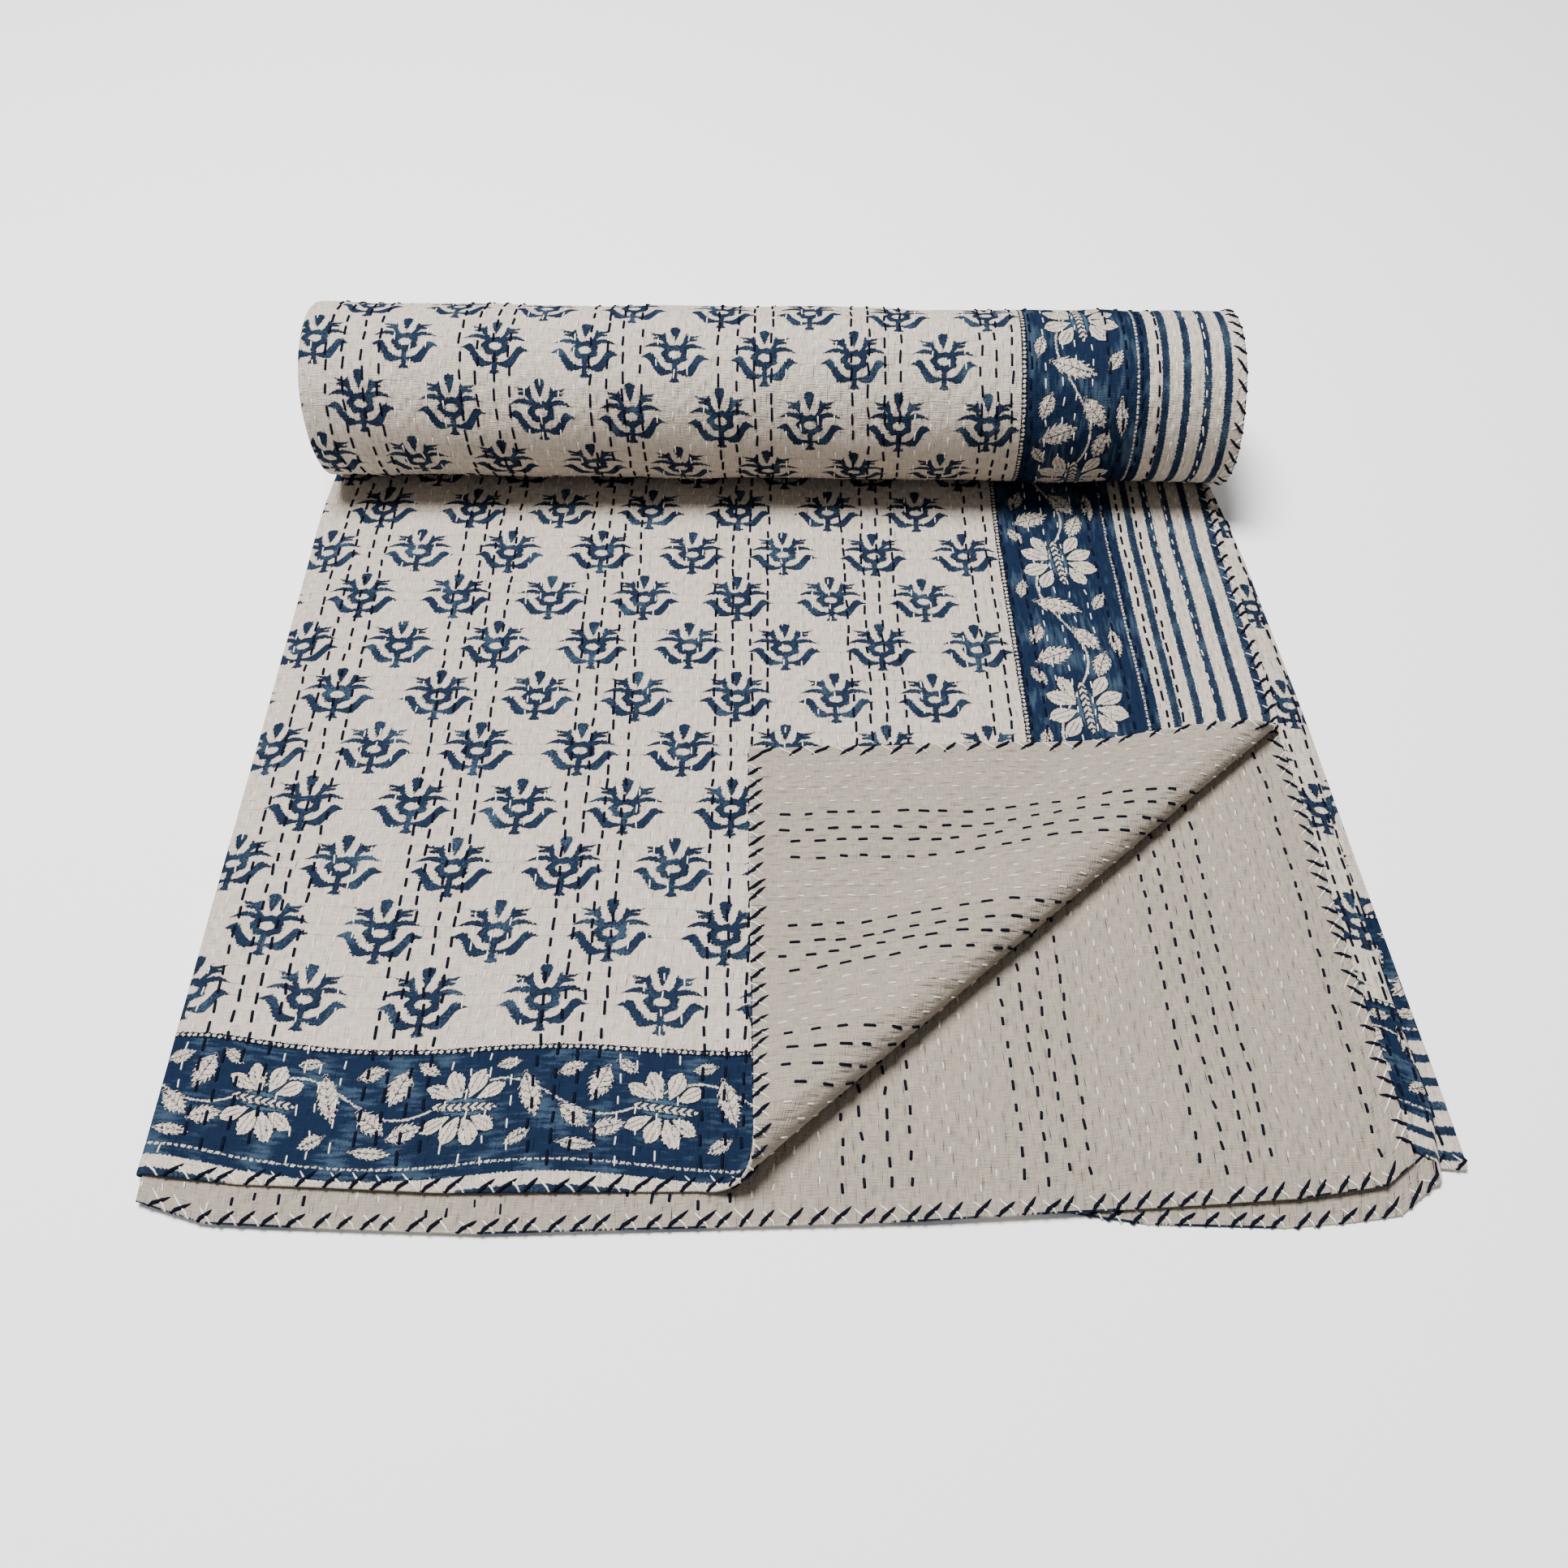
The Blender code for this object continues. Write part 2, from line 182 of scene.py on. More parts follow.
class Section:
    """Four layers as one back-and-forth section. Across it, u goes from 0 to 7: each layer and each
    fold is one unit wide."""

    def __init__(self, layers, left, hems):
        self.layers, self.left, self.hems = layers, left, hems

    def span(self, piece, y):
        """The two ends in x of a layer's straight part."""
        outer, after, before, inner = (level(k) for k in self.layers)
        in_roll = smooth((y - NARROWS_FROM) / NARROWS_OVER)
        slide = (ROLL_LEFT - self.left[0]) * in_roll
        outer_left = self.left[0] + slide + abs(outer - after) / 2
        inner_left = self.left[1] + slide + abs(before - inner) / 2
        fold_right = right_edge(self.hems[1], y) - abs(after - before) / 2
        first, last = right_edge(self.hems[0], y), right_edge(self.hems[2], y)
        ends = (first, outer_left, fold_right, inner_left, last)
        return ends[piece], ends[piece + 1]

    def place(self, u, v):
        """x, level, hem offset and front sink for places u across and v from the hem."""
        x, z, hem, sink = (np.zeros_like(u) for _ in range(4))
        for piece, layer in enumerate(self.layers):
            start, end = self.span(piece, v)
            inside = (u >= 2 * piece) & (u <= 2 * piece + 1)
            along = start + (end - start) * (u - 2 * piece)
            x = np.where(inside, along, x)
            z = np.where(inside, level(layer), z)
            hem = np.where(inside, front_hem(layer, along), hem)
            sink = np.where(inside, FRONT_SINK[layer], sink)
        for fold in range(3):
            before, after = self.layers[fold], self.layers[fold + 1]
            inside = (u > 2 * fold + 1) & (u < 2 * fold + 2)
            turn = math.pi * (u - 2 * fold - 1)
            centre = self.span(fold, v)[1]
            radius = (level(before) - level(after)) / 2
            side = 1.0 if fold == 1 else -1.0
            share = (1.0 - np.cos(turn)) / 2
            x = np.where(inside, centre + side * abs(radius) * np.sin(turn), x)
            z = np.where(inside, (level(before) + level(after)) / 2 + radius * np.cos(turn), z)
            hem_before, hem_after = front_hem(before, centre), front_hem(after, centre)
            hem = np.where(inside, hem_before + (hem_after - hem_before) * share, hem)
            sink = np.where(inside, FRONT_SINK[before] * (1 - share) + FRONT_SINK[after] * share, sink)
        return x, z, hem, sink


UPPER = Section((1, 4, 3, 2), UPPER_LEFT, ("layer_1_hem", "upper_fold", "layer_2_hem"))
LOWER = Section((8, 5, 6, 7), LOWER_LEFT, ("layer_8_hem", "lower_fold", "layer_7_hem"))


def turn_corner(x, y):
    """Moves the top layer's places that lie past the diagonal fold: new x and y, and the height gained."""
    along = (math.cos(FOLD_ANGLE), math.sin(FOLD_ANGLE))
    outward = (along[1], -along[0])
    dx, dy = x - FOLD_START[0], y - FOLD_START[1]
    a, q = dx * along[0] + dy * along[1], dx * outward[0] + dy * outward[1]
    radius = FOLD_RADIUS_FRONT + (FOLD_RADIUS_BACK - FOLD_RADIUS_FRONT) * a / FOLD_LENGTH
    past = q + radius
    angle = np.clip(past / radius, 0.0, math.pi)
    flat_past = np.maximum(past - math.pi * radius, 0.0)
    new_q = np.where(past > 0, -radius + radius * np.sin(angle) - flat_past, q)
    new_a = a - CORNER_SLIP * np.maximum(past, 0.0)
    lowered = smooth(flat_past / SETTLE_LENGTH)
    rise = radius * (1.0 - np.cos(angle)) * (1.0 - lowered) + TURNED_REST * lowered
    new_x = FOLD_START[0] + new_a * along[0] + new_q * outward[0]
    new_y = FOLD_START[1] + new_a * along[1] + new_q * outward[1]
    return new_x, new_y, np.where(past > 0, rise, 0.0)


def roll_angle(past):
    """How far round the roll a place is, from its length past the line where the roll begins."""
    start = ROLL_RADIUS - STACK / 2
    rest = np.sqrt(np.maximum(start**2 - STACK / math.pi * np.maximum(past, 0.0), 1e-8))
    return (start - rest) * 2 * math.pi / STACK


# Soft unevenness of the whole stack: (waves per metre in X and Y, phase, share of the height)
UNEVEN = (
    (9.0, 5.0, 0.4, 0.030),
    (4.0, 13.0, 1.9, 0.024),
    (21.0, 8.0, 4.1, 0.012),
    (12.0, 29.0, 2.6, 0.010),
)
# Soft creases, ridges and troughs: (x, y, degrees, half length, half width, share of the height)
CREASES = (
    (0.060, 0.200, 40, 0.090, 0.010, 0.10),
    (0.120, 0.215, 35, 0.070, 0.008, -0.09),
    (0.015, 0.120, 60, 0.060, 0.010, 0.08),
    (0.200, 0.120, 85, 0.080, 0.012, 0.08),
    (0.150, 0.060, 95, 0.050, 0.010, -0.07),
    (0.250, 0.200, 80, 0.070, 0.010, 0.07),
    (-0.250, 0.300, 80, 0.100, 0.012, 0.08),
    (-0.200, 0.050, 5, 0.060, 0.010, 0.09),
    (-0.050, 0.035, 175, 0.070, 0.009, -0.07),
    (-0.120, 0.420, 10, 0.120, 0.012, 0.07),
    (0.180, 0.400, 85, 0.070, 0.012, 0.07),
    (-0.160, 0.190, 20, 0.090, 0.014, -0.05),
)


def uneven(x, y):
    """The share by which the stack is higher or lower than its layers make it."""
    total = sum(share * np.sin(2 * math.pi * (fx * x + fy * y) + phase) for fx, fy, phase, share in UNEVEN)
    for at_x, at_y, degrees, long, wide, share in CREASES:
        c, s = math.cos(math.radians(degrees)), math.sin(math.radians(degrees))
        along, across = (x - at_x) * c + (y - at_y) * s, (y - at_y) * c - (x - at_x) * s
        total = total + share * np.exp(-((along / long) ** 2) - (across / wide) ** 2)
    return total


def middle(U, V):
    """The middle of the cloth at places (U, V) of the flat cloth, as points in the object's frame."""
    u = np.interp(U, S, np.arange(8.0))
    lower = V > HALF_LENGTH
    v = np.where(lower, LENGTH - V, V)
    core = np.clip((V - (HALF_LENGTH - CORE_TURN)) / (2 * CORE_TURN), 0.0, 1.0)
    share = (1 - np.cos(math.pi * core)) / 2
    flat = np.minimum(v, HALF_LENGTH - CORE_TURN)
    upper_x, upper_z, upper_hem, upper_sink = UPPER.place(u, flat)
    lower_x, _, lower_hem, lower_sink = LOWER.place(u, flat)
    x = upper_x + (lower_x - upper_x) * share
    w = MIDDLE_LEVEL + (upper_z - MIDDLE_LEVEL) * np.cos(math.pi * core)
    hem, sink = np.where(lower, lower_hem, upper_hem), np.where(lower, lower_sink, upper_sink)
    along = flat + np.abs(upper_z - MIDDLE_LEVEL) * np.sin(math.pi * core)
    along = along + hem * (1.0 - smooth(v / HEM_FADE))
    # flat part
    corner_x, corner_y, rise = turn_corner(x, along)
    top, open_corner = (u <= 1.0) & ~lower, (u >= 6.0) & ~lower
    turned = top & (along < CORNER_REACH)
    flat_x, flat_y = np.where(turned, corner_x, x), np.where(turned, corner_y, along)
    flat_z = sunk(flat_x, flat_y, w, sink) * (1 + uneven(flat_x, flat_y)) + np.where(turned, rise, 0.0)
    open_lift = OPEN_LIFT * smooth((flat_x - OPEN_LIFT_FROM) / OPEN_LIFT_FADE)
    lift = HEM_LIFT * np.where(top, 1.0, np.where(open_corner, open_lift, 0.0))
    lift = lift * (1 - HEM_WAVE_SHARE + HEM_WAVE_SHARE * np.sin(flat_x * HEM_WAVES))
    flat_z = flat_z + lift * (1 - smooth((flat_y - HEM_LIFT_FROM) / HEM_LIFT_FADE))
    # rolled part
    angle = roll_angle(along - ROLL_Y)
    radius = ROLL_RADIUS - STACK * angle / (2 * math.pi) - w
    radius = radius * (1 + ROLL_UNEVEN * uneven(x, ROLL_ARM * angle) * smooth(angle / UNEVEN_FROM))
    roll_x = x + WANDER * np.sin(WANDER_RATE * angle) * smooth(angle / WANDER_FROM)
    rolled = along > ROLL_Y
    flat_x = np.where(rolled, roll_x, flat_x)
    y = np.where(rolled, ROLL_Y + radius * np.sin(angle), flat_y)
    z = np.where(rolled, ROLL_RADIUS - radius * np.cos(angle), flat_z)
    return np.stack([flat_x - ORIGIN[0], y - ORIGIN[1], z], axis=1)


def print_place(U, V):
    """Where the print is read: V is measured on each layer's own arc, so that it keeps its scale, and
    near the front hem the print waves with the cloth's pull."""
    u = np.interp(U, S, np.arange(8.0))
    lower = V > HALF_LENGTH
    v = np.where(lower, LENGTH - V, V)
    w = np.where(lower, LOWER.place(u, v)[1], UPPER.place(u, v)[1])
    own = v + (MIDDLE_LEVEL - w) * roll_angle(v - ROLL_Y)
    to_roll = smooth(own / ROLL_Y)
    far = LENGTH - np.minimum(own, ROLL_Y) - FAR_SCALE * np.maximum(own - ROLL_Y, 0) + FAR_SHIFT * to_roll
    far = far + FAR_SKEW * np.clip(S[1] - U, 0, FAR_SKEW_WIDTH) * to_roll
    drift = FAR_DRIFT * to_roll * lower
    wave = WAVE_HEIGHT * np.cos(2 * math.pi * (U - WAVE_TOP) / WAVE_LENGTH)
    wave = wave * np.clip(1 - own / WAVE_FADE, 0, 1)
    spread = np.where(lower, 0.0, SPREAD_NEAR + (SPREAD_FAR - SPREAD_NEAR) * smooth(own / SPREAD_TO))
    spread = spread * (1 - smooth((U - S[1]) / SPREAD_FADE_U))
    spread = spread * (1 - smooth((own - ROLL_Y) / SPREAD_FADE_V))
    spread = spread * np.clip(U - BORDER, 0, S[1] - BORDER)
    return np.stack([U + drift - spread, np.where(lower, far, own - wave)], axis=1)


def frame_at(U, V):
    """Middle, unit normal on the printed side, and unit directions of U and V, at places on the cloth."""
    step = 5e-5
    inside_u, inside_v = np.clip(U, step, WIDTH - step), np.clip(V, step, LENGTH - step)
    across = middle(inside_u + step, inside_v) - middle(inside_u - step, inside_v)
    along = middle(inside_u, inside_v + step) - middle(inside_u, inside_v - step)
    across /= np.linalg.norm(across, axis=1)[:, None]
    along /= np.linalg.norm(along, axis=1)[:, None]
    normal = np.cross(along, across)
    normal /= np.linalg.norm(normal, axis=1)[:, None]
    return middle(np.clip(U, 0, WIDTH), np.clip(V, 0, LENGTH)), normal, across, along


HEM_WIDTH, HEM_EXTRA = 0.006, 0.0005  # the turned-in hem is thicker than the rest


def half_cloth(U, V):
    """Half the cloth's thickness, with the hem turned in along its edges."""
    edge = np.minimum.reduce([U, WIDTH - U, V, LENGTH - V])
    return CLOTH / 2 + HEM_EXTRA / 2 * (1 - smooth((edge - HEM_WIDTH * 0.8) / (HEM_WIDTH * 0.4)))


def cloth_surface(U, V, side):
    """Points on a side of the cloth, 1 for the print and -1 for the plain side, and the unit directions
    out of it. Past the hem's edge, by up to RIM, the points go round it to the other side."""
    over_u = (U - np.clip(U, 0, WIDTH)) / RIM
    over_v = (V - np.clip(V, 0, LENGTH)) / RIM
    over = np.clip(np.maximum(abs(over_u), abs(over_v)), 0, 1)
    centre, normal, across, along = frame_at(U, V)
    beside = across * over_u[:, None] + along * over_v[:, None]
    size = np.linalg.norm(beside, axis=1)[:, None]
    beside = np.where(size > 0, beside / np.maximum(size, 1e-9), 0.0)
    half = half_cloth(np.clip(U, 0, WIDTH), np.clip(V, 0, LENGTH))[:, None]
    turn = (math.pi * over)[:, None]
    out = side * np.cos(turn) * normal + np.sin(turn) * beside
    return centre + half * out, out


# ---------------------------------------------------------------- the cloth's mesh
RIM, RIM_STEPS = 0.003, 3  # the printed cloth is turned in over the hem's edge, by this width
FINE, COARSE, WOUND = 0.0035, 0.030, 0.0070  # mesh steps: where it shows, where it doesn't, in the roll
TURN_STEP, SHARP_STEP, CORE_STEP = 0.001, 0.00035, 0.0018  # and round the folds


def lines(*stretches):
    """Mesh lines over stretches of (end, step), from 0."""
    found, at = [0.0], 0.0
    for end, step in stretches:
        count = max(1, round((end - at) / step))
        found += [at + (end - at) * (n + 1) / count for n in range(count)]
        at = end
    return found


RIGHT_MARGIN, OPEN_WIDTH = 0.045, 0.330  # seen of layers 3 to 6 at the right, and of layer 2
# The blocks of the flat cloth across and along: (name, end, mesh step)
U_BLOCKS = (
    ("layer_1", S[1], FINE),
    ("left_fold", S[2], TURN_STEP),
    ("layer_4", S[3] - RIGHT_MARGIN, COARSE),
    ("margin_4", S[3], FINE),
    ("right_fold", S[4], SHARP_STEP),
    ("margin_3", S[4] + RIGHT_MARGIN, FINE),
    ("layer_3", S[5], COARSE),
    ("inner_fold", S[6], SHARP_STEP),
    ("layer_2", S[7] - OPEN_WIDTH, COARSE),
    ("open_2", S[7], FINE),
)
FLAP_END, OUTER_END, UNDER_END = 0.525, 0.790, 0.498
V_BLOCKS = (
    ("flap", FLAP_END, FINE),
    ("inner", HALF_LENGTH - CORE_TURN, WOUND),
    ("core", HALF_LENGTH + CORE_TURN, CORE_STEP),
    ("inner_back", LENGTH - OUTER_END, WOUND),
    ("outer", LENGTH - UNDER_END, FINE),
    ("under", LENGTH, WOUND),
)
# How many cells are joined in one where they don't show, by block, across and along
JOINED = {"layer_1": 8, "open_2": 8, "margin_4": 4, "margin_3": 4}
LONG_CELLS = {"flap": 7, "under": 4}
# The blocks that show, on the printed side and on the plain side
SHOWN = {
    1: (
        ("layer_1", "flap"), ("layer_1", "outer"), ("margin_3", "flap"),
        ("margin_4", "under"), ("margin_3", "under"),
    ),
    -1: (("layer_1", "flap"), ("open_2", "flap"), ("margin_4", "flap")),
}
# Texture space for a baked copy: most of it goes to what shows, as (place on the cloth, share)
BAKE_U = {
    1: ((-RIM, 0.002), (S[1] + 0.02, 0.80), (WIDTH + RIM, 0.998)),
    -1: ((-RIM, 0.002), (0.36, 0.44), (WIDTH - 0.34, 0.56), (WIDTH + RIM, 0.998)),
}
BAKE_V = {
    1: (
        (-RIM, 0.002), (FLAP_END, 0.56), (LENGTH - OUTER_END, 0.63),
        (LENGTH - UNDER_END, 0.93), (LENGTH + RIM, 0.998),
    ),
    -1: ((-RIM, 0.002), (0.40, 0.75), (LENGTH + RIM, 0.998)),
}


def cell_strides(side, u_block, v_block):
    """How many mesh lines the cells of a block span, across and along."""
    if (u_block, v_block) in SHOWN[side] or u_block == "rim" or v_block == "rim":
        return 1, 1
    fold = u_block.endswith("fold")
    return JOINED.get(u_block, 1), 2 if fold and v_block == "flap" else LONG_CELLS.get(v_block, 1)


def mesh_lines(blocks, rim):
    """The mesh lines over a row of blocks, with the rim's own before and after them, and for each block
    its name, first line and last line."""
    found = lines(*((end, step) for _, end, step in blocks))
    edges = [rim] + [rim + int(np.argmin(abs(np.array(found) - end))) for _, end, _ in blocks]
    ranges = [(name, *pair) for (name, _, _), *pair in zip(blocks, edges[:-1], edges[1:])]
    if rim:
        ranges = [("rim", 0, rim)] + ranges + [("rim", edges[-1], edges[-1] + rim)]
    steps = [RIM * (n + 1) / RIM_STEPS for n in range(rim)]
    return np.array([-d for d in reversed(steps)] + found + [blocks[-1][1] + d for d in steps]), ranges


def cloth_mesh(name, side):
    """One side of the whole cloth as a mesh, fine where it shows, with its print coordinates as UVs."""
    rim = RIM_STEPS if side > 0 else 0
    us, u_ranges = mesh_lines(U_BLOCKS, rim)
    vs, v_ranges = mesh_lines(V_BLOCKS, rim)
    cells, used = [], np.zeros((len(us), len(vs)), bool)
    for u_name, u_first, u_last in u_ranges:
        for v_name, v_first, v_last in v_ranges:
            u_stride, v_stride = cell_strides(side, u_name, v_name)
            for i in range(u_first, u_last, u_stride):
                for j in range(v_first, v_last, v_stride):
                    cells.append((i, min(i + u_stride, u_last), j, min(j + v_stride, v_last)))
    for i, k, j, m in cells:
        used[i, j] = used[k, j] = used[i, m] = used[k, m] = True
    number = np.full(used.shape, -1)
    number[used] = np.arange(used.sum())
    at = np.argwhere(used)
    faces = []
    for i, k, j, m in cells:
        ring = [(n, j) for n in range(i, k)] + [(k, n) for n in range(j, m)]
        ring += [(n, m) for n in range(k, i, -1)] + [(i, n) for n in range(m, j, -1)]
        face = [number[p] for p in ring if used[p]]
        faces.append(face[::-1] if side > 0 else face)
    U, V = us[at[:, 0]], vs[at[:, 1]]
    points = cloth_surface(U, V, side)[0]
    mesh = bpy.data.meshes.new(name)
    mesh.from_pydata([tuple(p) for p in points], [], faces)
    places = print_place(np.clip(U, 0, WIDTH), np.clip(V, 0, LENGTH))
    corners = np.empty(len(mesh.loops), dtype=np.int32)
    mesh.loops.foreach_get("vertex_index", corners)
    bake = np.stack([np.interp(U, *zip(*BAKE_U[side])), np.interp(V, *zip(*BAKE_V[side]))], axis=1)
    for map_name, at in (("print", places), ("OFBake", bake)):
        layer = mesh.uv_layers.new(name=map_name)
        layer.data.foreach_set("uv", at[corners].astype(np.float32).ravel())
    mesh.shade_smooth()
    if side > 0:
        distance = border_distance(places)[corners]
        starts = np.empty(len(mesh.polygons), dtype=np.int32)
        mesh.polygons.foreach_get("loop_start", starts)
        nearest, farthest = np.minimum.reduceat(distance, starts), np.maximum.reduceat(distance, starts)
        in_field, in_border = nearest > BORDER + EDGE_MARGIN, farthest < BORDER - EDGE_MARGIN
        kind = np.where(in_field, 0, np.where(in_border, 1, 2))
        mesh.polygons.foreach_set("material_index", kind.astype(np.int32))
    return linked(name, mesh)


def linked(name, mesh):
    obj = bpy.data.objects.new(name, mesh)
    bpy.context.collection.objects.link(obj)
    return obj


# ---------------------------------------------------------------- nodes
class Value:
    """A number in a shader. Sums, products and comparisons of values make Math nodes."""

    def __init__(self, tree, socket):
        self.tree, self.socket = tree, socket

    def make(self, operation, *others, clamp=False):
        node = self.tree.nodes.new("ShaderNodeMath")
        node.operation, node.use_clamp = operation, clamp
        for slot, value in enumerate((self,) + others):
            if isinstance(value, Value):
                self.tree.links.new(value.socket, node.inputs[slot])
            else:
                node.inputs[slot].default_value = value
        return Value(self.tree, node.outputs[0])

    def __add__(self, other):
        return self.make("ADD", other)

    def __sub__(self, other):
        return self.make("SUBTRACT", other)

    def __mul__(self, other):
        return self.make("MULTIPLY", other)

    def __neg__(self):
        return self.make("MULTIPLY", -1.0)

    def __abs__(self):
        return self.make("ABSOLUTE")

    def fract(self):
        return self.make("FRACT")

    def min(self, other):
        return self.make("MINIMUM", other)

    def max(self, other):
        return self.make("MAXIMUM", other)

    def inside(self, soft):
        """0 to 1 where the value passes 0, over a soft edge."""
        return self.make("MULTIPLY_ADD", 1.0 / soft, 0.5, clamp=True)

    def period(self, length, middle=0.0):
        """The distance, with its sign, to the nearest of a row of places."""
        return ((self - middle) * (1.0 / length) + 0.5).fract().make("MULTIPLY_ADD", length, -length / 2)

    def curve(self, rows):
        """A value charted as rows of (place, value), joined by straight lines."""
        node = self.tree.nodes.new("ShaderNodeFloatCurve")
        first, last = rows[0][0], rows[-1][0]
        low, high = min(r[1] for r in rows), max(r[1] for r in rows)
        points = node.mapping.curves[0].points
        while len(points) < len(rows):
            points.new(0.5, 0.5)
        for point, (place, value) in zip(points, rows):
            point.location = ((place - first) / (last - first), (value - low) / (high - low))
            point.handle_type = "VECTOR"
        node.mapping.update()
        scaled = self.make("MULTIPLY_ADD", 1 / (last - first), -first / (last - first), clamp=True)
        self.tree.links.new(scaled.socket, node.inputs["Value"])
        return Value(self.tree, node.outputs[0]).make("MULTIPLY_ADD", high - low, low)


class Looks:
    """A material under construction: its shader, its map and its patterns."""

    def __init__(self, name):
        self.material = bpy.data.materials.new(name)
        self.material.use_nodes = True
        self.tree = self.material.node_tree
        self.shader = next(n for n in self.tree.nodes if n.type == "BSDF_PRINCIPLED")

    def value(self, socket):
        return Value(self.tree, socket)

    def print_map(self):
        node = self.tree.nodes.new("ShaderNodeUVMap")
        node.uv_map = "print"
        parts = self.tree.nodes.new("ShaderNodeSeparateXYZ")
        self.tree.links.new(node.outputs[0], parts.inputs[0])
        return node.outputs[0], self.value(parts.outputs[0]), self.value(parts.outputs[1])

    def object_map(self):
        return self.tree.nodes.new("ShaderNodeTexCoord").outputs["Object"]

    def place(self, x, y, z=0.0):
        node = self.tree.nodes.new("ShaderNodeCombineXYZ")
        for slot, value in enumerate((x, y, z)):
            if isinstance(value, Value):
                self.tree.links.new(value.socket, node.inputs[slot])
            else:
                node.inputs[slot].default_value = value
        return node.outputs[0]

    def noise(self, vector, scale, detail, stretch=(1, 1, 1), flat=True):
        if stretch != (1, 1, 1):
            node = self.tree.nodes.new("ShaderNodeVectorMath")
            node.operation = "MULTIPLY"
            self.tree.links.new(vector, node.inputs[0])
            node.inputs[1].default_value = stretch
            vector = node.outputs[0]
        node = self.tree.nodes.new("ShaderNodeTexNoise")
        node.noise_dimensions = "2D" if flat else "3D"
        node.inputs["Scale"].default_value = scale
        node.inputs["Detail"].default_value = detail
        self.tree.links.new(vector, node.inputs["Vector"])
        return self.value(node.outputs["Fac"])

    def mix(self, share, first, second):
        """A colour between two, each a socket or a colour."""
        node = self.tree.nodes.new("ShaderNodeMix")
        node.data_type = "RGBA"
        self.tree.links.new(share.socket, node.inputs[0])
        for slot, colour in ((6, first), (7, second)):
            if isinstance(colour, tuple):
                node.inputs[slot].default_value = (*colour, 1.0)
            else:
                self.tree.links.new(colour, node.inputs[slot])
        return node.outputs[2]

    def bump(self, height, distance, strength, before=None):
        node = self.tree.nodes.new("ShaderNodeBump")
        node.inputs["Strength"].default_value = strength
        node.inputs["Distance"].default_value = distance
        self.tree.links.new(height.socket, node.inputs["Height"])
        if before is not None:
            self.tree.links.new(before, node.inputs["Normal"])
        return node.outputs[0]

    def finish(self, colour, roughness, normal):
        """Dull cotton: no gloss but its roughness."""
        self.tree.links.new(colour, self.shader.inputs["Base Color"])
        self.tree.links.new(roughness.socket, self.shader.inputs["Roughness"])
        self.tree.links.new(normal, self.shader.inputs["Normal"])
        self.shader.inputs["Specular IOR Level"].default_value = 0.0
        return self.material


# ---------------------------------------------------------------- the print
# The border's design by its distance from the design's own edge
BORDER, BORDER_TRIM = 0.1443, 0.0600  # its whole width, and what the near end lacks of it
EDGE_MARGIN = 0.002  # faces this near the border's edge take both designs
NEAR_SCALE, NEAR_ALONG = 1.21, 1.36  # the near end's block is smaller by this, across and along
# How much less it lacks in the middle of the cloth, and where this sets in
NEAR_SKEW, SKEW_FROM, SKEW_OVER = 0.0145, 0.60, 0.40
NEAR_START = 0.034  # where the near end's first repeat starts
BEADS, BEADS_LOW, BEAD_PITCH, BEAD_RADIUS = 0.1426, 0.0736, 0.0030, 0.00100
BEAD_GROUND, LOW_BEAD_HALF = 0.0021, 0.00060
GARLAND_HALF, GROUND_END = 0.0305, 0.0668
STRIPE_PITCH, STRIPE_HALF, FIRST_STRIPE = 0.0128, 0.00235, 0.0057
CLEAN, FINE_SOFT, SOFT, FIELD_SOFT = 0.0002, 0.0003, 0.0004, 0.010  # how soft the print's edges are

# The field's sprigs: their pitch across and along; every second row is half a pitch out
COLUMN, ROW = 0.0542, 0.03933
FIRST_COLUMN, FIRST_ROW = 0.1645, 0.094
WHOLE_ROW = 0.0192  # a sprig whose ring is further than this before the first row is left out
# A sprig, drawn in units of COLUMN from the middle of its ring, its head towards +y. Its leaves
# and its buds are rows of (distance from the middle, height), and the rows called half give how far a
# shape reaches to both sides of its line.
SPRIG_FOOT, SPRIG_WIDER = 0.335, 1.07
RING_HALVES, HOLE_HALVES = (0.140, 0.122), (0.064, 0.046)
RING_LOBES, LOBE_DEPTH = 7.0, 0.13
NOTCH_FROM, NOTCH_OPENS, NOTCH_HEIGHT = 0.18, 0.20, 0.222
HEAD_OFF = 0.004
LOW_LEAF = (
    (0.02, -0.205), (0.08, -0.213), (0.13, -0.205), (0.18, -0.165),
    (0.225, -0.085), (0.26, -0.040), (0.30, -0.032), (0.34, -0.045),
)
LOW_LEAF_HALF = (
    (0.02, 0.016), (0.08, 0.030), (0.13, 0.050), (0.18, 0.080),
    (0.225, 0.084), (0.26, 0.055), (0.30, 0.026), (0.360, 0.0),
)
TOP_LEAF = ((0.06, 0.075), (0.11, 0.095), (0.165, 0.115), (0.22, 0.117), (0.27, 0.102), (0.32, 0.078))
TOP_LEAF_HALF = ((0.06, 0.034), (0.11, 0.034), (0.165, 0.032), (0.22, 0.027), (0.27, 0.018), (0.34, 0.0))
BUD_TOP = (
    (0.03, 0.080), (0.085, 0.165), (0.098, 0.245), (0.110, 0.290),
    (0.140, 0.252), (0.180, 0.256), (0.275, 0.272),
)
BUD_BOTTOM = (
    (0.03, 0.090), (0.036, 0.035), (0.100, 0.108), (0.145, 0.172),
    (0.228, 0.186), (0.234, 0.245), (0.275, 0.272),
)
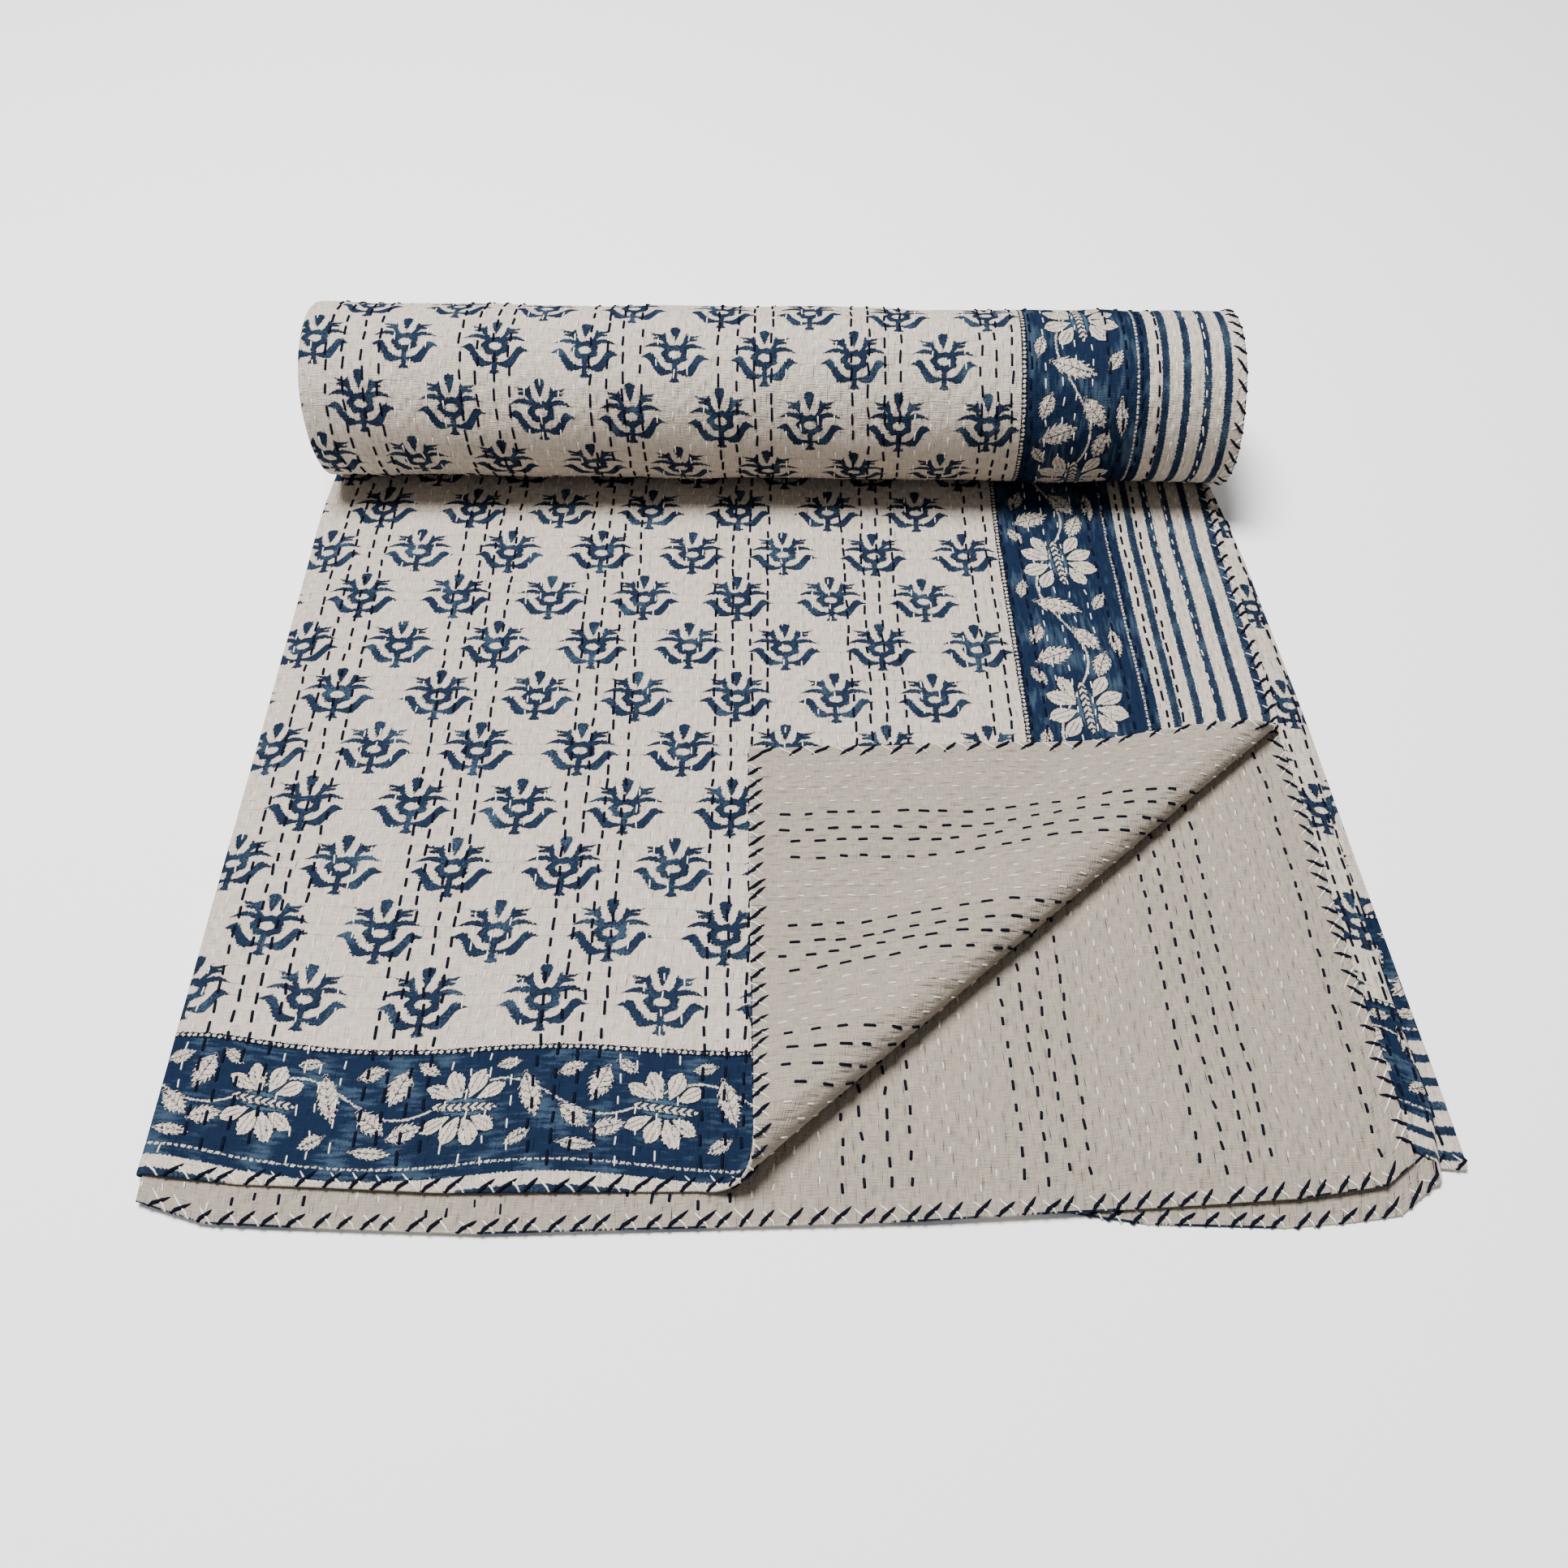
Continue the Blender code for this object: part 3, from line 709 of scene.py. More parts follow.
# The head and the stem by their height
HEAD_HALF = (
    (0.150, 0.0), (0.20, 0.020), (0.26, 0.038), (0.31, 0.051),
    (0.345, 0.053), (0.365, 0.040), (0.378, -0.01),
)
STEM_HALF = (
    (-0.328, -0.01), (-0.318, 0.056), (-0.300, 0.050), (-0.272, 0.028),
    (-0.12, 0.030), (-0.09, 0.025), (-0.08, -0.01),
)


def sprig(looks, U, V):
    """How far inside a sprig of the field a place is, in units of COLUMN."""
    rows = (V - FIRST_ROW) * (1.0 / ROW) + SPRIG_FOOT * COLUMN / ROW
    y = rows.fract() * (ROW / COLUMN) - SPRIG_FOOT
    odd = (rows.make("FLOOR") * 0.5).fract()
    x = ((U - FIRST_COLUMN) * (1.0 / COLUMN) + odd + 0.5).fract() - 0.5
    whole = (U - x * COLUMN - BORDER).min(V - FIRST_ROW + WHOLE_ROW) * 8.0
    x = x * (1 / SPRIG_WIDER)
    side = abs(x)

    def band(centre, half):
        return side.curve(half) - abs(y - side.curve(centre))

    def oval(half_across, half_along):
        return (x * (1 / half_across)).make("POWER", 2.0) + (y * (1 / half_along)).make("POWER", 2.0)

    ring = oval(*RING_HALVES)
    lobes = (y.make("ARCTAN2", x) * RING_LOBES).make("COSINE") * LOBE_DEPTH
    hole = oval(*HOLE_HALVES)
    ring_in = (lobes - ring + 1.0) * 0.05
    bud = (side.curve(BUD_TOP) - y).min(y - side.curve(BUD_BOTTOM))
    notch = (side - NOTCH_FROM) * NOTCH_OPENS - abs(y - NOTCH_HEIGHT)
    found = ring_in.max(band(LOW_LEAF, LOW_LEAF_HALF)).max(band(TOP_LEAF, TOP_LEAF_HALF))
    found = found.max(bud.min(-notch))
    found = found.max(y.curve(HEAD_HALF) - abs(x - HEAD_OFF)).max(y.curve(STEM_HALF) - side)
    return found.min((hole - 1.0) * 0.03).min(whole)


REPEAT = 0.118  # length of the border's garland
# The garland, charted: leaves and petals by (along, across, degrees, half length, half width)
LEAVES = (
    (0.0125, 0.0050, 72, 0.0150, 0.0062),
    (0.0895, 0.0125, 112, 0.0120, 0.0068),
    (0.0830, -0.0145, -20, 0.0105, 0.0052),
    (0.1035, -0.0085, 36, 0.0112, 0.0058),
    (0.1070, 0.0205, -20, 0.0088, 0.0044),
    (0.1010, -0.0255, 4, 0.0120, 0.0034),
    (0.0270, 0.0245, 168, 0.0076, 0.0036),
    (0.0740, 0.0235, 30, 0.0076, 0.0036),
    (0.0170, -0.0210, 150, 0.0082, 0.0038),
)
# Petals, drawn in this order, in the same columns
PETALS = (
    (0.0360, 0.0075, 152, 0.0092, 0.0046),
    (0.0640, 0.0085, 22, 0.0098, 0.0044),
    (0.0445, 0.0125, 112, 0.0094, 0.0058),
    (0.0560, 0.0120, 66, 0.0100, 0.0056),
    (0.0390, -0.0105, 214, 0.0092, 0.0046),
    (0.0650, -0.0100, 330, 0.0094, 0.0044),
    (0.0560, -0.0135, 296, 0.0096, 0.0052),
    (0.0465, -0.0150, 250, 0.0096, 0.0060),
)
BODY = (0.0500, -0.0010, 4, 0.0200, 0.0052)  # the blossom's middle, in paler blue with cream chevrons
OUTLINE = 0.0008  # the dark line round each cream shape
STEM_SWING, STEM_RISE, STEM_HALF_WIDTH = 0.011, 0.004, 0.00060
# A leaf's teeth and veins: how many in its half length, their slant and the teeth's depth
TEETH, TOOTH_SLANT, TOOTH_DEPTH, LEAF_FULL = 3.0, 1.1, 0.42, 1.12
SHAPE_GAP = 0.0005  # between a shape and the one drawn before it
VEIN_HALF, VEIN_MARGIN = 0.00030, 0.0007
# A petal's line, and its outline, which widens by PETAL_SWELL from a width of PETAL_FOOT
PETAL_LINE_AT, PETAL_LINE_HALF, PETAL_MARGIN = 0.30, 0.00022, 0.0012
PETAL_SWELL, PETAL_FOOT, PETAL_LEAST = 0.55, 0.85, 0.15
CHEVRONS, CHEVRON_SLANT, CHEVRON_WIDTH, CHEVRON_DEEP, CHEVRON_REACH = 4.5, 1.3, 0.27, 0.004, 0.42


def garland(looks, s, t):
    """The garland's cream parts, its fine lines, its paler middle and its stem, each as how far inside it
    a place is, in metres."""
    where = looks.place((s * (1 / REPEAT)).fract() * REPEAT, t)
    cream = veins = None

    def local(along, across, degrees, long, wide):
        """A place in a shape's own lengths: along it, and to either side of it."""
        node = looks.tree.nodes.new("ShaderNodeMapping")
        node.vector_type = "TEXTURE"
        looks.tree.links.new(where, node.inputs["Vector"])
        node.inputs["Location"].default_value = (along, across, 0.0)
        node.inputs["Rotation"].default_value = (0.0, 0.0, math.radians(degrees))
        node.inputs["Scale"].default_value = (long, wide, 1.0)
        parts = looks.tree.nodes.new("ShaderNodeSeparateXYZ")
        looks.tree.links.new(node.outputs[0], parts.inputs[0])
        return looks.value(parts.outputs[0]), abs(looks.value(parts.outputs[1]))

    for leaf in LEAVES:
        a, b = local(*leaf)
        teeth = b.make("MULTIPLY_ADD", TOOTH_SLANT, a * TEETH).fract()
        found = (teeth.make("MULTIPLY_ADD", TOOTH_DEPTH, -LEAF_FULL) + a * a + b) * -leaf[4]
        vein = b.make("MULTIPLY_ADD", -TOOTH_SLANT, a * TEETH).make("PINGPONG", 0.5)
        vein = vein.make("MULTIPLY", leaf[3] / TEETH).min(b * leaf[4])
        line = (vein * -1.0 + VEIN_HALF).min(found - VEIN_MARGIN)
        cream = found if cream is None else cream.min(found * -1.0 - SHAPE_GAP).max(found)
        veins = line if veins is None else veins.min(found * -1.0).max(line)
    for petal in PETALS:
        a, b = local(*petal)
        widening = a.make("MULTIPLY_ADD", PETAL_SWELL, PETAL_FOOT).max(PETAL_LEAST)
        found = ((a * a * -1.0 + 1.0) * widening - b) * petal[4]
        cream = cream.min(found * -1.0 - SHAPE_GAP).max(found)
        line = (abs(b - PETAL_LINE_AT) * -petal[4] + PETAL_LINE_HALF).min(found - PETAL_MARGIN)
        veins = veins.min(found * -1.0).max(line)
    a, b = local(*BODY)
    body = (a * a + b) * -BODY[4] + BODY[4]
    chevrons = b.make("MULTIPLY_ADD", CHEVRON_SLANT, a * CHEVRONS).make("PINGPONG", 0.5)
    chevrons = (chevrons * -1.0 + CHEVRON_WIDTH) * CHEVRON_DEEP
    chevrons = chevrons.min(b.make("MULTIPLY_ADD", -BODY[4], BODY[4] * CHEVRON_REACH)).min(body)
    swing = (s * (2 * math.pi / REPEAT)).make("SINE") * STEM_SWING
    stem = abs(t - swing - STEM_RISE) * -1.0 + STEM_HALF_WIDTH
    cream = cream.min(-body - OUTLINE).max(chevrons)
    return cream, veins, body, stem


# ---------------------------------------------------------------- the cotton and the threads
FIELD, FIELD_DARK = (0.515, 0.449, 0.382), (0.408, 0.352, 0.293)
# The back cloth's tones are darker than its own colour: partly painted shade, for the front of layer 2 that
# lies in shadow
BACKING, BACKING_DARK, BACKING_WORN = (0.328, 0.282, 0.233), (0.258, 0.220, 0.179), (0.284, 0.243, 0.200)
BLUE, BLUE_DARK = (0.0110, 0.0190, 0.0390), (0.0040, 0.0072, 0.0165)
GROUND, GROUND_PALE, BLOSSOM_BLUE = (0.0080, 0.0155, 0.0360), (0.047, 0.080, 0.118), (0.040, 0.072, 0.110)
NAVY, NAVY_LIGHT = (0.0022, 0.0028, 0.0080), (0.0080, 0.0095, 0.0200)
CREAM, CREAM_LIGHT = (0.62, 0.56, 0.47), (0.78, 0.72, 0.63)
LINE_START, LINE_PITCH = 0.0523, 0.0041  # the quilting lines across the cloth
PUCKER_LENGTH, LINE_STEP = 0.0108, 2.399  # along a line, and how far each line is out of step with the next
PUCKER_SHARE, CRUMPLE_SHARE = 0.8, 2.0
CRUMPLE_SCALE, CRUMPLE_STRETCH = 110.0, (1.45, 0.60, 1.0)
PRINTED_RELIEF, PLAIN_RELIEF, WEAVE_RELIEF = 0.00085, 0.00095, 0.00042
WARP_THREADS, WEFT_THREADS = (1900.0, 130.0, 1.0), (160.0, 1700.0, 1.0)
WOBBLE, WOBBLE_SCALE = 0.0013, 900.0  # how far and how finely the print's edges wander
DYE_PATCHES, BACKING_PATCHES, GROUND_PATCHES = 70.0, 40.0, 45.0
BRUSH_ALONG, BRUSH_ACROSS = 60.0, 420.0  # the strokes in the border's ground
FIBRE_SCALE, FIBRE_RELIEF = 1400.0, 0.0002


def woven(looks, place):
    """The cloth's two sets of threads, uneven along their length."""
    warp = looks.noise(place, 1.0, 0.0, WARP_THREADS)
    return warp + looks.noise(place, 1.0, 0.0, WEFT_THREADS)


def puckers(looks, place, U, V, depth, weave):
    """Relief of the quilting and of the woven threads, as a normal."""
    line = (U - LINE_START) * (1.0 / LINE_PITCH)
    phase = (line + 0.5).make("FLOOR") * LINE_STEP
    across = (line * (2 * math.pi)).make("COSINE").make("MULTIPLY_ADD", 0.5, 0.5).make("POWER", 2.0)
    along = V.make("MULTIPLY_ADD", 2 * math.pi / PUCKER_LENGTH, phase).make("SINE")
    along = along.make("MULTIPLY_ADD", 0.5, -0.35)
    crumple = looks.noise(place, CRUMPLE_SCALE, 1.0, CRUMPLE_STRETCH) * CRUMPLE_SHARE
    normal = looks.bump((across * along).make("MULTIPLY_ADD", PUCKER_SHARE, crumple), depth, 1.0)
    return looks.bump(weave, WEAVE_RELIEF, 0.9, normal)


def printed_cotton(part):
    """The printed cloth: its field of sprigs, its border, or both."""
    looks = Looks("quilted_cotton_" + part)
    place, U, V = looks.print_map()
    rough = looks.noise(place, WOBBLE_SCALE, 0.0)
    u = rough.make("MULTIPLY_ADD", WOBBLE, U) - WOBBLE / 2
    v = rough.make("MULTIPLY_ADD", -WOBBLE, V) + WOBBLE / 2
    patchy = looks.noise(place, DYE_PATCHES, 0.0)
    ink = patchy.make("MULTIPLY_ADD", 1.6, rough * 1.1) - 1.42
    weave = woven(looks, place)
    cloth = looks.mix(weave.make("MULTIPLY_ADD", 1.7, -1.2, clamp=True), FIELD_DARK, FIELD)
    if part != "border":
        motif = sprig(looks, u, v)
        blue = looks.mix((motif * -1.0 + 0.012).inside(0.012), BLUE, BLUE_DARK)
        blue = looks.mix(ink.make("ADD", 0.0, clamp=True), blue, GROUND_PALE)
        colour = looks.mix(motif.inside(FIELD_SOFT), cloth, blue)
    if part != "field":
        skew = ((u - SKEW_FROM) * (1 / SKEW_OVER)).make("ADD", 0.0, clamp=True) * -NEAR_SKEW
        sides = u.min(u * -1.0 + WIDTH)
        near, far = ((v + skew) * NEAR_SCALE + BORDER_TRIM), v * -1.0 + LENGTH
        ends = near.min(far)
        edge = sides.min(ends)
        at_near = (far - near).inside(CLEAN)
        across = u * (at_near * (NEAR_ALONG - 1) + 1.0) - at_near * NEAR_START
        at_side = (ends - sides).inside(CLEAN)
        s, run = across + (v - across) * at_side, u + (v - u) * at_side
        border = border_colour(looks, s, run, edge, cloth, ink)
        colour = looks.mix((edge - BORDER).inside(CLEAN), border, colour) if part == "edge" else border
    roughness = patchy.make("MULTIPLY_ADD", 0.12, 0.80)
    return looks.finish(colour, roughness, puckers(looks, place, U, V, PRINTED_RELIEF, weave))


def border_colour(looks, s, run, edge, cloth, ink):
    """The border's colour by the place along its garland, the place along its hem and the distance from
    the design's edge."""
    t = edge - (BEADS + BEADS_LOW) / 2
    cream, veins, body, stem = garland(looks, s, t)
    strokes = looks.noise(looks.place(s * BRUSH_ALONG, t * BRUSH_ACROSS), 1.0, 1.0)
    patches = looks.noise(looks.place(s, t), GROUND_PATCHES, 0.0)
    pale = (strokes + patches).make("MULTIPLY_ADD", 3.0, -3.1, clamp=True)
    ground = looks.mix(pale * 0.62, GROUND, GROUND_PALE)
    in_garland = abs(t) * -1.0 + GARLAND_HALF
    ground = looks.mix(stem.min(in_garland).inside(SOFT), ground, cloth)
    ground = looks.mix(body.inside(SOFT), ground, BLOSSOM_BLUE)
    ground = looks.mix((cream + OUTLINE).min(in_garland).inside(SOFT), ground, BLUE_DARK)
    ground = looks.mix(cream.min(in_garland).inside(SOFT), ground, cloth)
    ground = looks.mix(veins.min(in_garland).inside(FINE_SOFT), ground, BLUE)
    # beaded lines
    beads, off_line = run.period(BEAD_PITCH), edge - BEADS
    upper = (beads * beads + off_line * off_line).make("SQRT") * -1.0 + BEAD_RADIUS
    ground = looks.mix((abs(off_line) * -1.0 + BEAD_GROUND).inside(FINE_SOFT), ground, BLUE_DARK)
    lower = (abs(beads) * -1.0 + BEAD_RADIUS).min(abs(edge - BEADS_LOW) * -1.0 + LOW_BEAD_HALF)
    ground = looks.mix(upper.max(lower).inside(FINE_SOFT), ground, cloth)
    # stripes
    stripe = abs(edge.period(STRIPE_PITCH, FIRST_STRIPE)) * -1.0 + STRIPE_HALF
    faint = looks.mix(ink.make("ADD", 0.1, clamp=True), BLUE, GROUND_PALE)
    striped = looks.mix(stripe.inside(SOFT), cloth, faint)
    return looks.mix((edge - GROUND_END).inside(FINE_SOFT), striped, ground)


def border_distance(places):
    """Distance of places of the print from the border design's edge."""
    u, v = places[:, 0], places[:, 1]
    near = (v - NEAR_SKEW * np.clip((u - SKEW_FROM) / SKEW_OVER, 0, 1)) * NEAR_SCALE + BORDER_TRIM
    ends = np.minimum(near, LENGTH - v)
    return np.minimum(np.minimum(u, WIDTH - u), ends)


def plain_cotton():
    """The plain back cloth, a little darker where it is worn, its tones lowered in all as painted shade."""
    looks = Looks("quilted_cotton_plain")
    place, U, V = looks.print_map()
    weave = woven(looks, place)
    cloth = looks.mix(weave.make("MULTIPLY_ADD", 1.7, -1.2, clamp=True), BACKING_DARK, BACKING)
    patchy = looks.noise(place, BACKING_PATCHES, 0.0)
    colour = looks.mix(patchy.make("MULTIPLY_ADD", 1.6, -0.75, clamp=True), cloth, BACKING_WORN)
    roughness = patchy.make("MULTIPLY_ADD", 0.12, 0.82)
    return looks.finish(colour, roughness, puckers(looks, place, U, V, PLAIN_RELIEF, weave))


def thread(name, colour, light):
    """Sewing thread, with its fibres lighter than its hollows."""
    looks = Looks(name)
    place = looks.object_map()
    fibre = looks.noise(place, FIBRE_SCALE, 1.0, flat=False)
    base = looks.mix(fibre.make("MULTIPLY_ADD", 1.8, -0.4, clamp=True), colour, light)
    normal = looks.bump(fibre, FIBRE_RELIEF, 0.8)
    return looks.finish(base, (fibre * 0.2) + 0.65, normal)


# ---------------------------------------------------------------- the stitches
RNG = np.random.default_rng(7)
HAND = 0.00045  # how far the hand strays from a stitch line
RING = 5  # sides of a thread
RUNNING_SHARES, WHIP_SHARES = (0, 0.12, 0.88, 1), (0, 0.15, 0.35, 0.75, 1)  # a thread's rings along it
# Stitch lines by their place in a group, in steps between lines: the dark ones, then the cream ones
DARK, PALE = (0, 1, 2, 3), (4.0, 4.95, 5.85, 6.75)
# Groups of lines as (first, pitch of the groups, step between lines, groups): on the whole cloth, on the
# plain side of layer 2 measured from its hem, and on the strip of it that shows at the front left
FACE_LINES = (LINE_START, 0.0787, 0.0102, range(-1, 29))
OPEN_LINES = (0.0655, 0.0815, 0.0107, range(-1, 4))
STRIP_LINES = (0.326, 0.087, 0.0107, range(3))
SELVAGE, SEEN_GAP = 0.009, 0.004  # stitches stay this far from a hem, and from where the cloth is hidden
# How far past the diagonal fold's line the stitches of each side start and end
FACE_PAST, TURNED_PAST, OPEN_PAST = 0.006, -0.014, -0.035
TURNED_END, OPENED_END, MARGIN_END = 0.35, 0.36, 0.47
OPEN_SPAN = (0.012, 0.32)  # across layer 2, from its hem
STRIP_SPAN, STRIP_PITCH = (0.0045, 0.0130), 0.008
TOP_HEM_X, OPEN_HEM_X = 0.2857, 0.285  # the right-hand hems of layers 1 and 2
ROLL_SPAN = (LENGTH - OUTER_END + SEEN_GAP, LENGTH - UNDER_END - SEEN_GAP)
WHIP_PITCH, WHIP_REACH, OPEN_REACH = 0.0104, 0.0070, 0.0072
WRAP = (-0.0022, -0.0006, 0.0012)  # a whip stitch round the hem's edge, before it goes inward
SWAY = (-0.30, -0.08, 0.08, 0.55, 1.0)  # its slant's shares


def threads_mesh(name, U, V, side, radius, share):
    """Short arched threads on the cloth, joined in one mesh. U and V hold one row of places for each
    thread, at the shares of its length."""
    count, steps = U.shape
    share = np.array(share)
    side = np.repeat(np.asarray(side, float), steps)[:, None]
    points, out = [], []
    for sign in (1, -1):
        p, n = cloth_surface(U.ravel(), V.ravel(), sign)
        points.append(p)
        out.append(n)
    upper = side > 0
    centre = np.where(upper, points[0], points[1]).reshape(count, steps, 3)
    out = np.where(upper, out[0], out[1]).reshape(count, steps, 3)
    arch = np.sqrt(np.clip(1 - (2 * share - 1) ** 2, 0, 1))
    thick = radius * (0.35 + 0.65 * arch)
    centre = centre + out * (radius * (-0.7 + 1.35 * arch))[None, :, None]
    tangent = np.gradient(centre, axis=1)
    tangent /= np.linalg.norm(tangent, axis=2)[..., None]
    beside = np.cross(tangent, out)
    beside /= np.linalg.norm(beside, axis=2)[..., None]
    upright = np.cross(beside, tangent)
    angle = 2 * math.pi * np.arange(RING) / RING
    ring = (
        centre[:, :, None]
        + thick[None, :, None, None] * np.cos(angle)[None, None, :, None] * upright[:, :, None]
        + thick[None, :, None, None] * np.sin(angle)[None, None, :, None] * beside[:, :, None]
    )
    vertices = ring.reshape(-1, 3)
    one = []
    for k in range(steps - 1):
        for r in range(RING):
            a, b = k * RING + r, k * RING + (r + 1) % RING
            one.append((a, b, b + RING, a + RING))
    quads = (np.array(one)[None] + (np.arange(count) * steps * RING)[:, None, None]).reshape(-1, 4)
    ends = np.array([np.arange(RING)[::-1], (steps - 1) * RING + np.arange(RING)])
    ends = (ends[None] + (np.arange(count) * steps * RING)[:, None, None]).reshape(-1, RING)
    mesh = bpy.data.meshes.new(name)
    mesh.from_pydata(vertices.tolist(), [], quads.tolist() + ends.tolist())
    mesh.shade_smooth()
    return linked(name, mesh)


def past_fold(x, y):
    """Distance of a place of the top layer past the diagonal fold's line."""
    return (x - FOLD_START[0]) * math.sin(FOLD_ANGLE) - (y - FOLD_START[1]) * math.cos(FOLD_ANGLE)


def running(places, first, last, side, pitch, dash):
    """Rows of running stitches along V: (U, V, side) of each stitch's places."""
    us, vs = [], []
    for u in places:
        count = int((last - first) / pitch)
        starts = first + pitch * (np.arange(count) + RNG.uniform(0, 1) + RNG.uniform(-0.12, 0.12, count))
        length = dash * RNG.uniform(0.78, 1.22, count)
        phase = RNG.uniform(0, 6.3)
        wander = HAND * 2.2 * np.sin(starts * 11 + phase) + RNG.normal(0, HAND, count)
        slant = RNG.normal(0, HAND * 0.8, count)
        share = np.array(RUNNING_SHARES)[None]
        us.append(u + wander[:, None] + slant[:, None] * (share - 0.5))
        vs.append(starts[:, None] + length[:, None] * share)
    U, V = np.concatenate(us), np.concatenate(vs)
    return U, V, np.full(len(U), float(side))


def keep(stitches, wanted):
    """The stitches whose middle is wanted."""
    U, V, side = stitches
    chosen = wanted(U.mean(axis=1), V.mean(axis=1))
    return U[chosen], V[chosen], side[chosen]


def group_lines(first, pitch, step, groups, which):
    """The places of stitch lines: some of the lines of each group."""
    return [first + pitch * g + step * j for g in groups for j in which]


def whipping(edge, first, last, pitch, inward, slant, side):
    """Slanting stitches over a hem. The edge is "right", "front", "left" or "back" of the flat cloth."""
    count = int((last - first) / pitch)
    at = first + pitch * (np.arange(count) + 0.5 + RNG.uniform(-0.18, 0.18, count))
    reach = np.array([*WRAP, 0.55 * inward, inward])[None]
    reach = reach * np.where(reach > 0.001, RNG.uniform(0.85, 1.15, (count, 1)), 1.0)
    along = at[:, None] + slant * np.array(SWAY)[None] * RNG.uniform(0.75, 1.25, (count, 1))
    if edge == "right":
        U, V = reach, along
    elif edge == "left":
        U, V = WIDTH - reach, along
    elif edge == "front":
        U, V = along, reach
    else:
        U, V = along, LENGTH - reach
    return U, V, np.full(count, float(side))


def joined(*parts):
    """Several lots of stitches as one."""
    return tuple(np.concatenate([part[k] for part in parts]) for k in range(3))


def rows_of(which, pitch, dash, back_dash):
    """All the running stitches of one colour that lie where the cloth can be seen."""
    whole = [u for u in group_lines(*FACE_LINES, which) if SELVAGE < u < WIDTH - SELVAGE]
    top = [u for u in whole if u < S[1] - SEEN_GAP]
    sides = [u for u in whole if S[3] - RIGHT_MARGIN + SEEN_GAP < u < S[4] + RIGHT_MARGIN - SEEN_GAP]
    open_part = [WIDTH - u for u in group_lines(*OPEN_LINES, which) if OPEN_SPAN[0] < u < OPEN_SPAN[1]]
    open_strip = [WIDTH - u for u in group_lines(*STRIP_LINES, which)]

    def top_past(u, v):
        return past_fold(TOP_HEM_X - u, v)

    def open_past(u, v):
        return past_fold(OPEN_HEM_X - (WIDTH - u), v)

    return joined(
        keep(
            running(top, SELVAGE, FLAP_END - SEEN_GAP, 1, pitch, dash),
            lambda u, v: top_past(u, v) < FACE_PAST,
        ),
        keep(
            running(top, SELVAGE, TURNED_END, -1, pitch, back_dash),
            lambda u, v: top_past(u, v) > TURNED_PAST,
        ),
        running(top, *ROLL_SPAN, 1, pitch, dash),
        keep(
            running(open_part, SELVAGE, OPENED_END, -1, pitch, back_dash),
            lambda u, v: open_past(u, v) > OPEN_PAST,
        ),
        running(open_strip, *STRIP_SPAN, -1, STRIP_PITCH, back_dash),
        running(sides, SELVAGE, MARGIN_END, 1, pitch, dash),
        running(sides, LENGTH - MARGIN_END, LENGTH - SELVAGE, 1, pitch, dash),
    )


def hem_stitches(slant, shift):
    """The whipping of every hem that shows, a row for each stretch: (edge, first, last, pitch, how far
    inward, slant, side), with 1 for the printed side and -1 for the plain one."""
    stretches = (
        ("front", 0.004, S[1], WHIP_PITCH * 1.12, WHIP_REACH, -slant, 1),
        ("front", 0.004, S[1] - 0.26, WHIP_PITCH, WHIP_REACH, -slant, -1),
        ("right", 0.004, 0.32, WHIP_PITCH * 1.25, WHIP_REACH, -slant, -1),
        ("right", 0.22, FLAP_END, WHIP_PITCH, WHIP_REACH, -slant, 1),
        ("right", ROLL_SPAN[0], ROLL_SPAN[1], WHIP_PITCH, WHIP_REACH, slant, 1),
        ("front", S[6] + 0.002, WIDTH - 0.004, WHIP_PITCH, OPEN_REACH, slant, -1),
        ("left", 0.004, 0.49, WHIP_PITCH, OPEN_REACH, slant, -1),
        ("front", S[3] - 0.24, S[4] + 0.05, WHIP_PITCH, WHIP_REACH, slant, -1),
        ("front", S[4] + 0.003, S[4] + 0.026, WHIP_PITCH, WHIP_REACH, slant, 1),
        ("back", S[3] - 0.03, S[4] + 0.02, WHIP_PITCH, WHIP_REACH, slant, 1),
    )
    return joined(*(whipping(edge, first + shift, *rest) for edge, first, *rest in stretches))


# ---------------------------------------------------------------- the pieces, floor, light and camera
CAMERA_AT = (-0.02218, -0.5256, 0.63561)
CAMERA_RIGHT = (0.99987605, -0.00363614, 0.01531865)
CAMERA_UP = (-0.00651454, 0.79022038, 0.61278814)
CAMERA_BACK = (-0.0143333, -0.61281198, 0.79009875)
SENSOR = 36.0  # millimetres
LENS = 1793.3 / 1932 * SENSOR
FLOOR_HALF, FLOOR_TONE = 6.0, 0.95
AIR_LIGHT = 0.335  # strength of the light from all round
LAMP_AT, LAMP_SIZE, LAMP_POWER = (-0.50, 0.32, 2.35), 1.0, 159.0


def dress(obj, *materials):
    """A piece of the quilt: its materials and what it rides on and stands for."""
    for material in materials:
        obj.data.materials.append(material)
    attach(obj, "root")
    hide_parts("quilt")


def placed(obj, right, up, back, at):
    """Puts a light or the camera at a place, turned to its own right, up and back directions."""
    obj.matrix_world = Matrix([[right[k], up[k], back[k], at[k]] for k in range(3)] + [[0, 0, 0, 1]])


def studio_floor():
    corners = [(x * FLOOR_HALF, y * FLOOR_HALF, 0) for x, y in ((-1, -1), (1, -1), (1, 1), (-1, 1))]
    mesh = bpy.data.meshes.new("floor")
    mesh.from_pydata(corners, [], [(0, 1, 2, 3)])
    floor = linked("floor", mesh)
    looks = Looks("floor_paper")
    paper = looks.tree.nodes.new("ShaderNodeBsdfDiffuse")
    paper.inputs["Color"].default_value = (FLOOR_TONE, FLOOR_TONE, FLOOR_TONE, 1.0)
    output = next(n for n in looks.tree.nodes if n.type == "OUTPUT_MATERIAL")
    looks.tree.links.new(paper.outputs[0], output.inputs["Surface"])
    looks.tree.nodes.remove(looks.shader)
    floor.data.materials.append(looks.material)


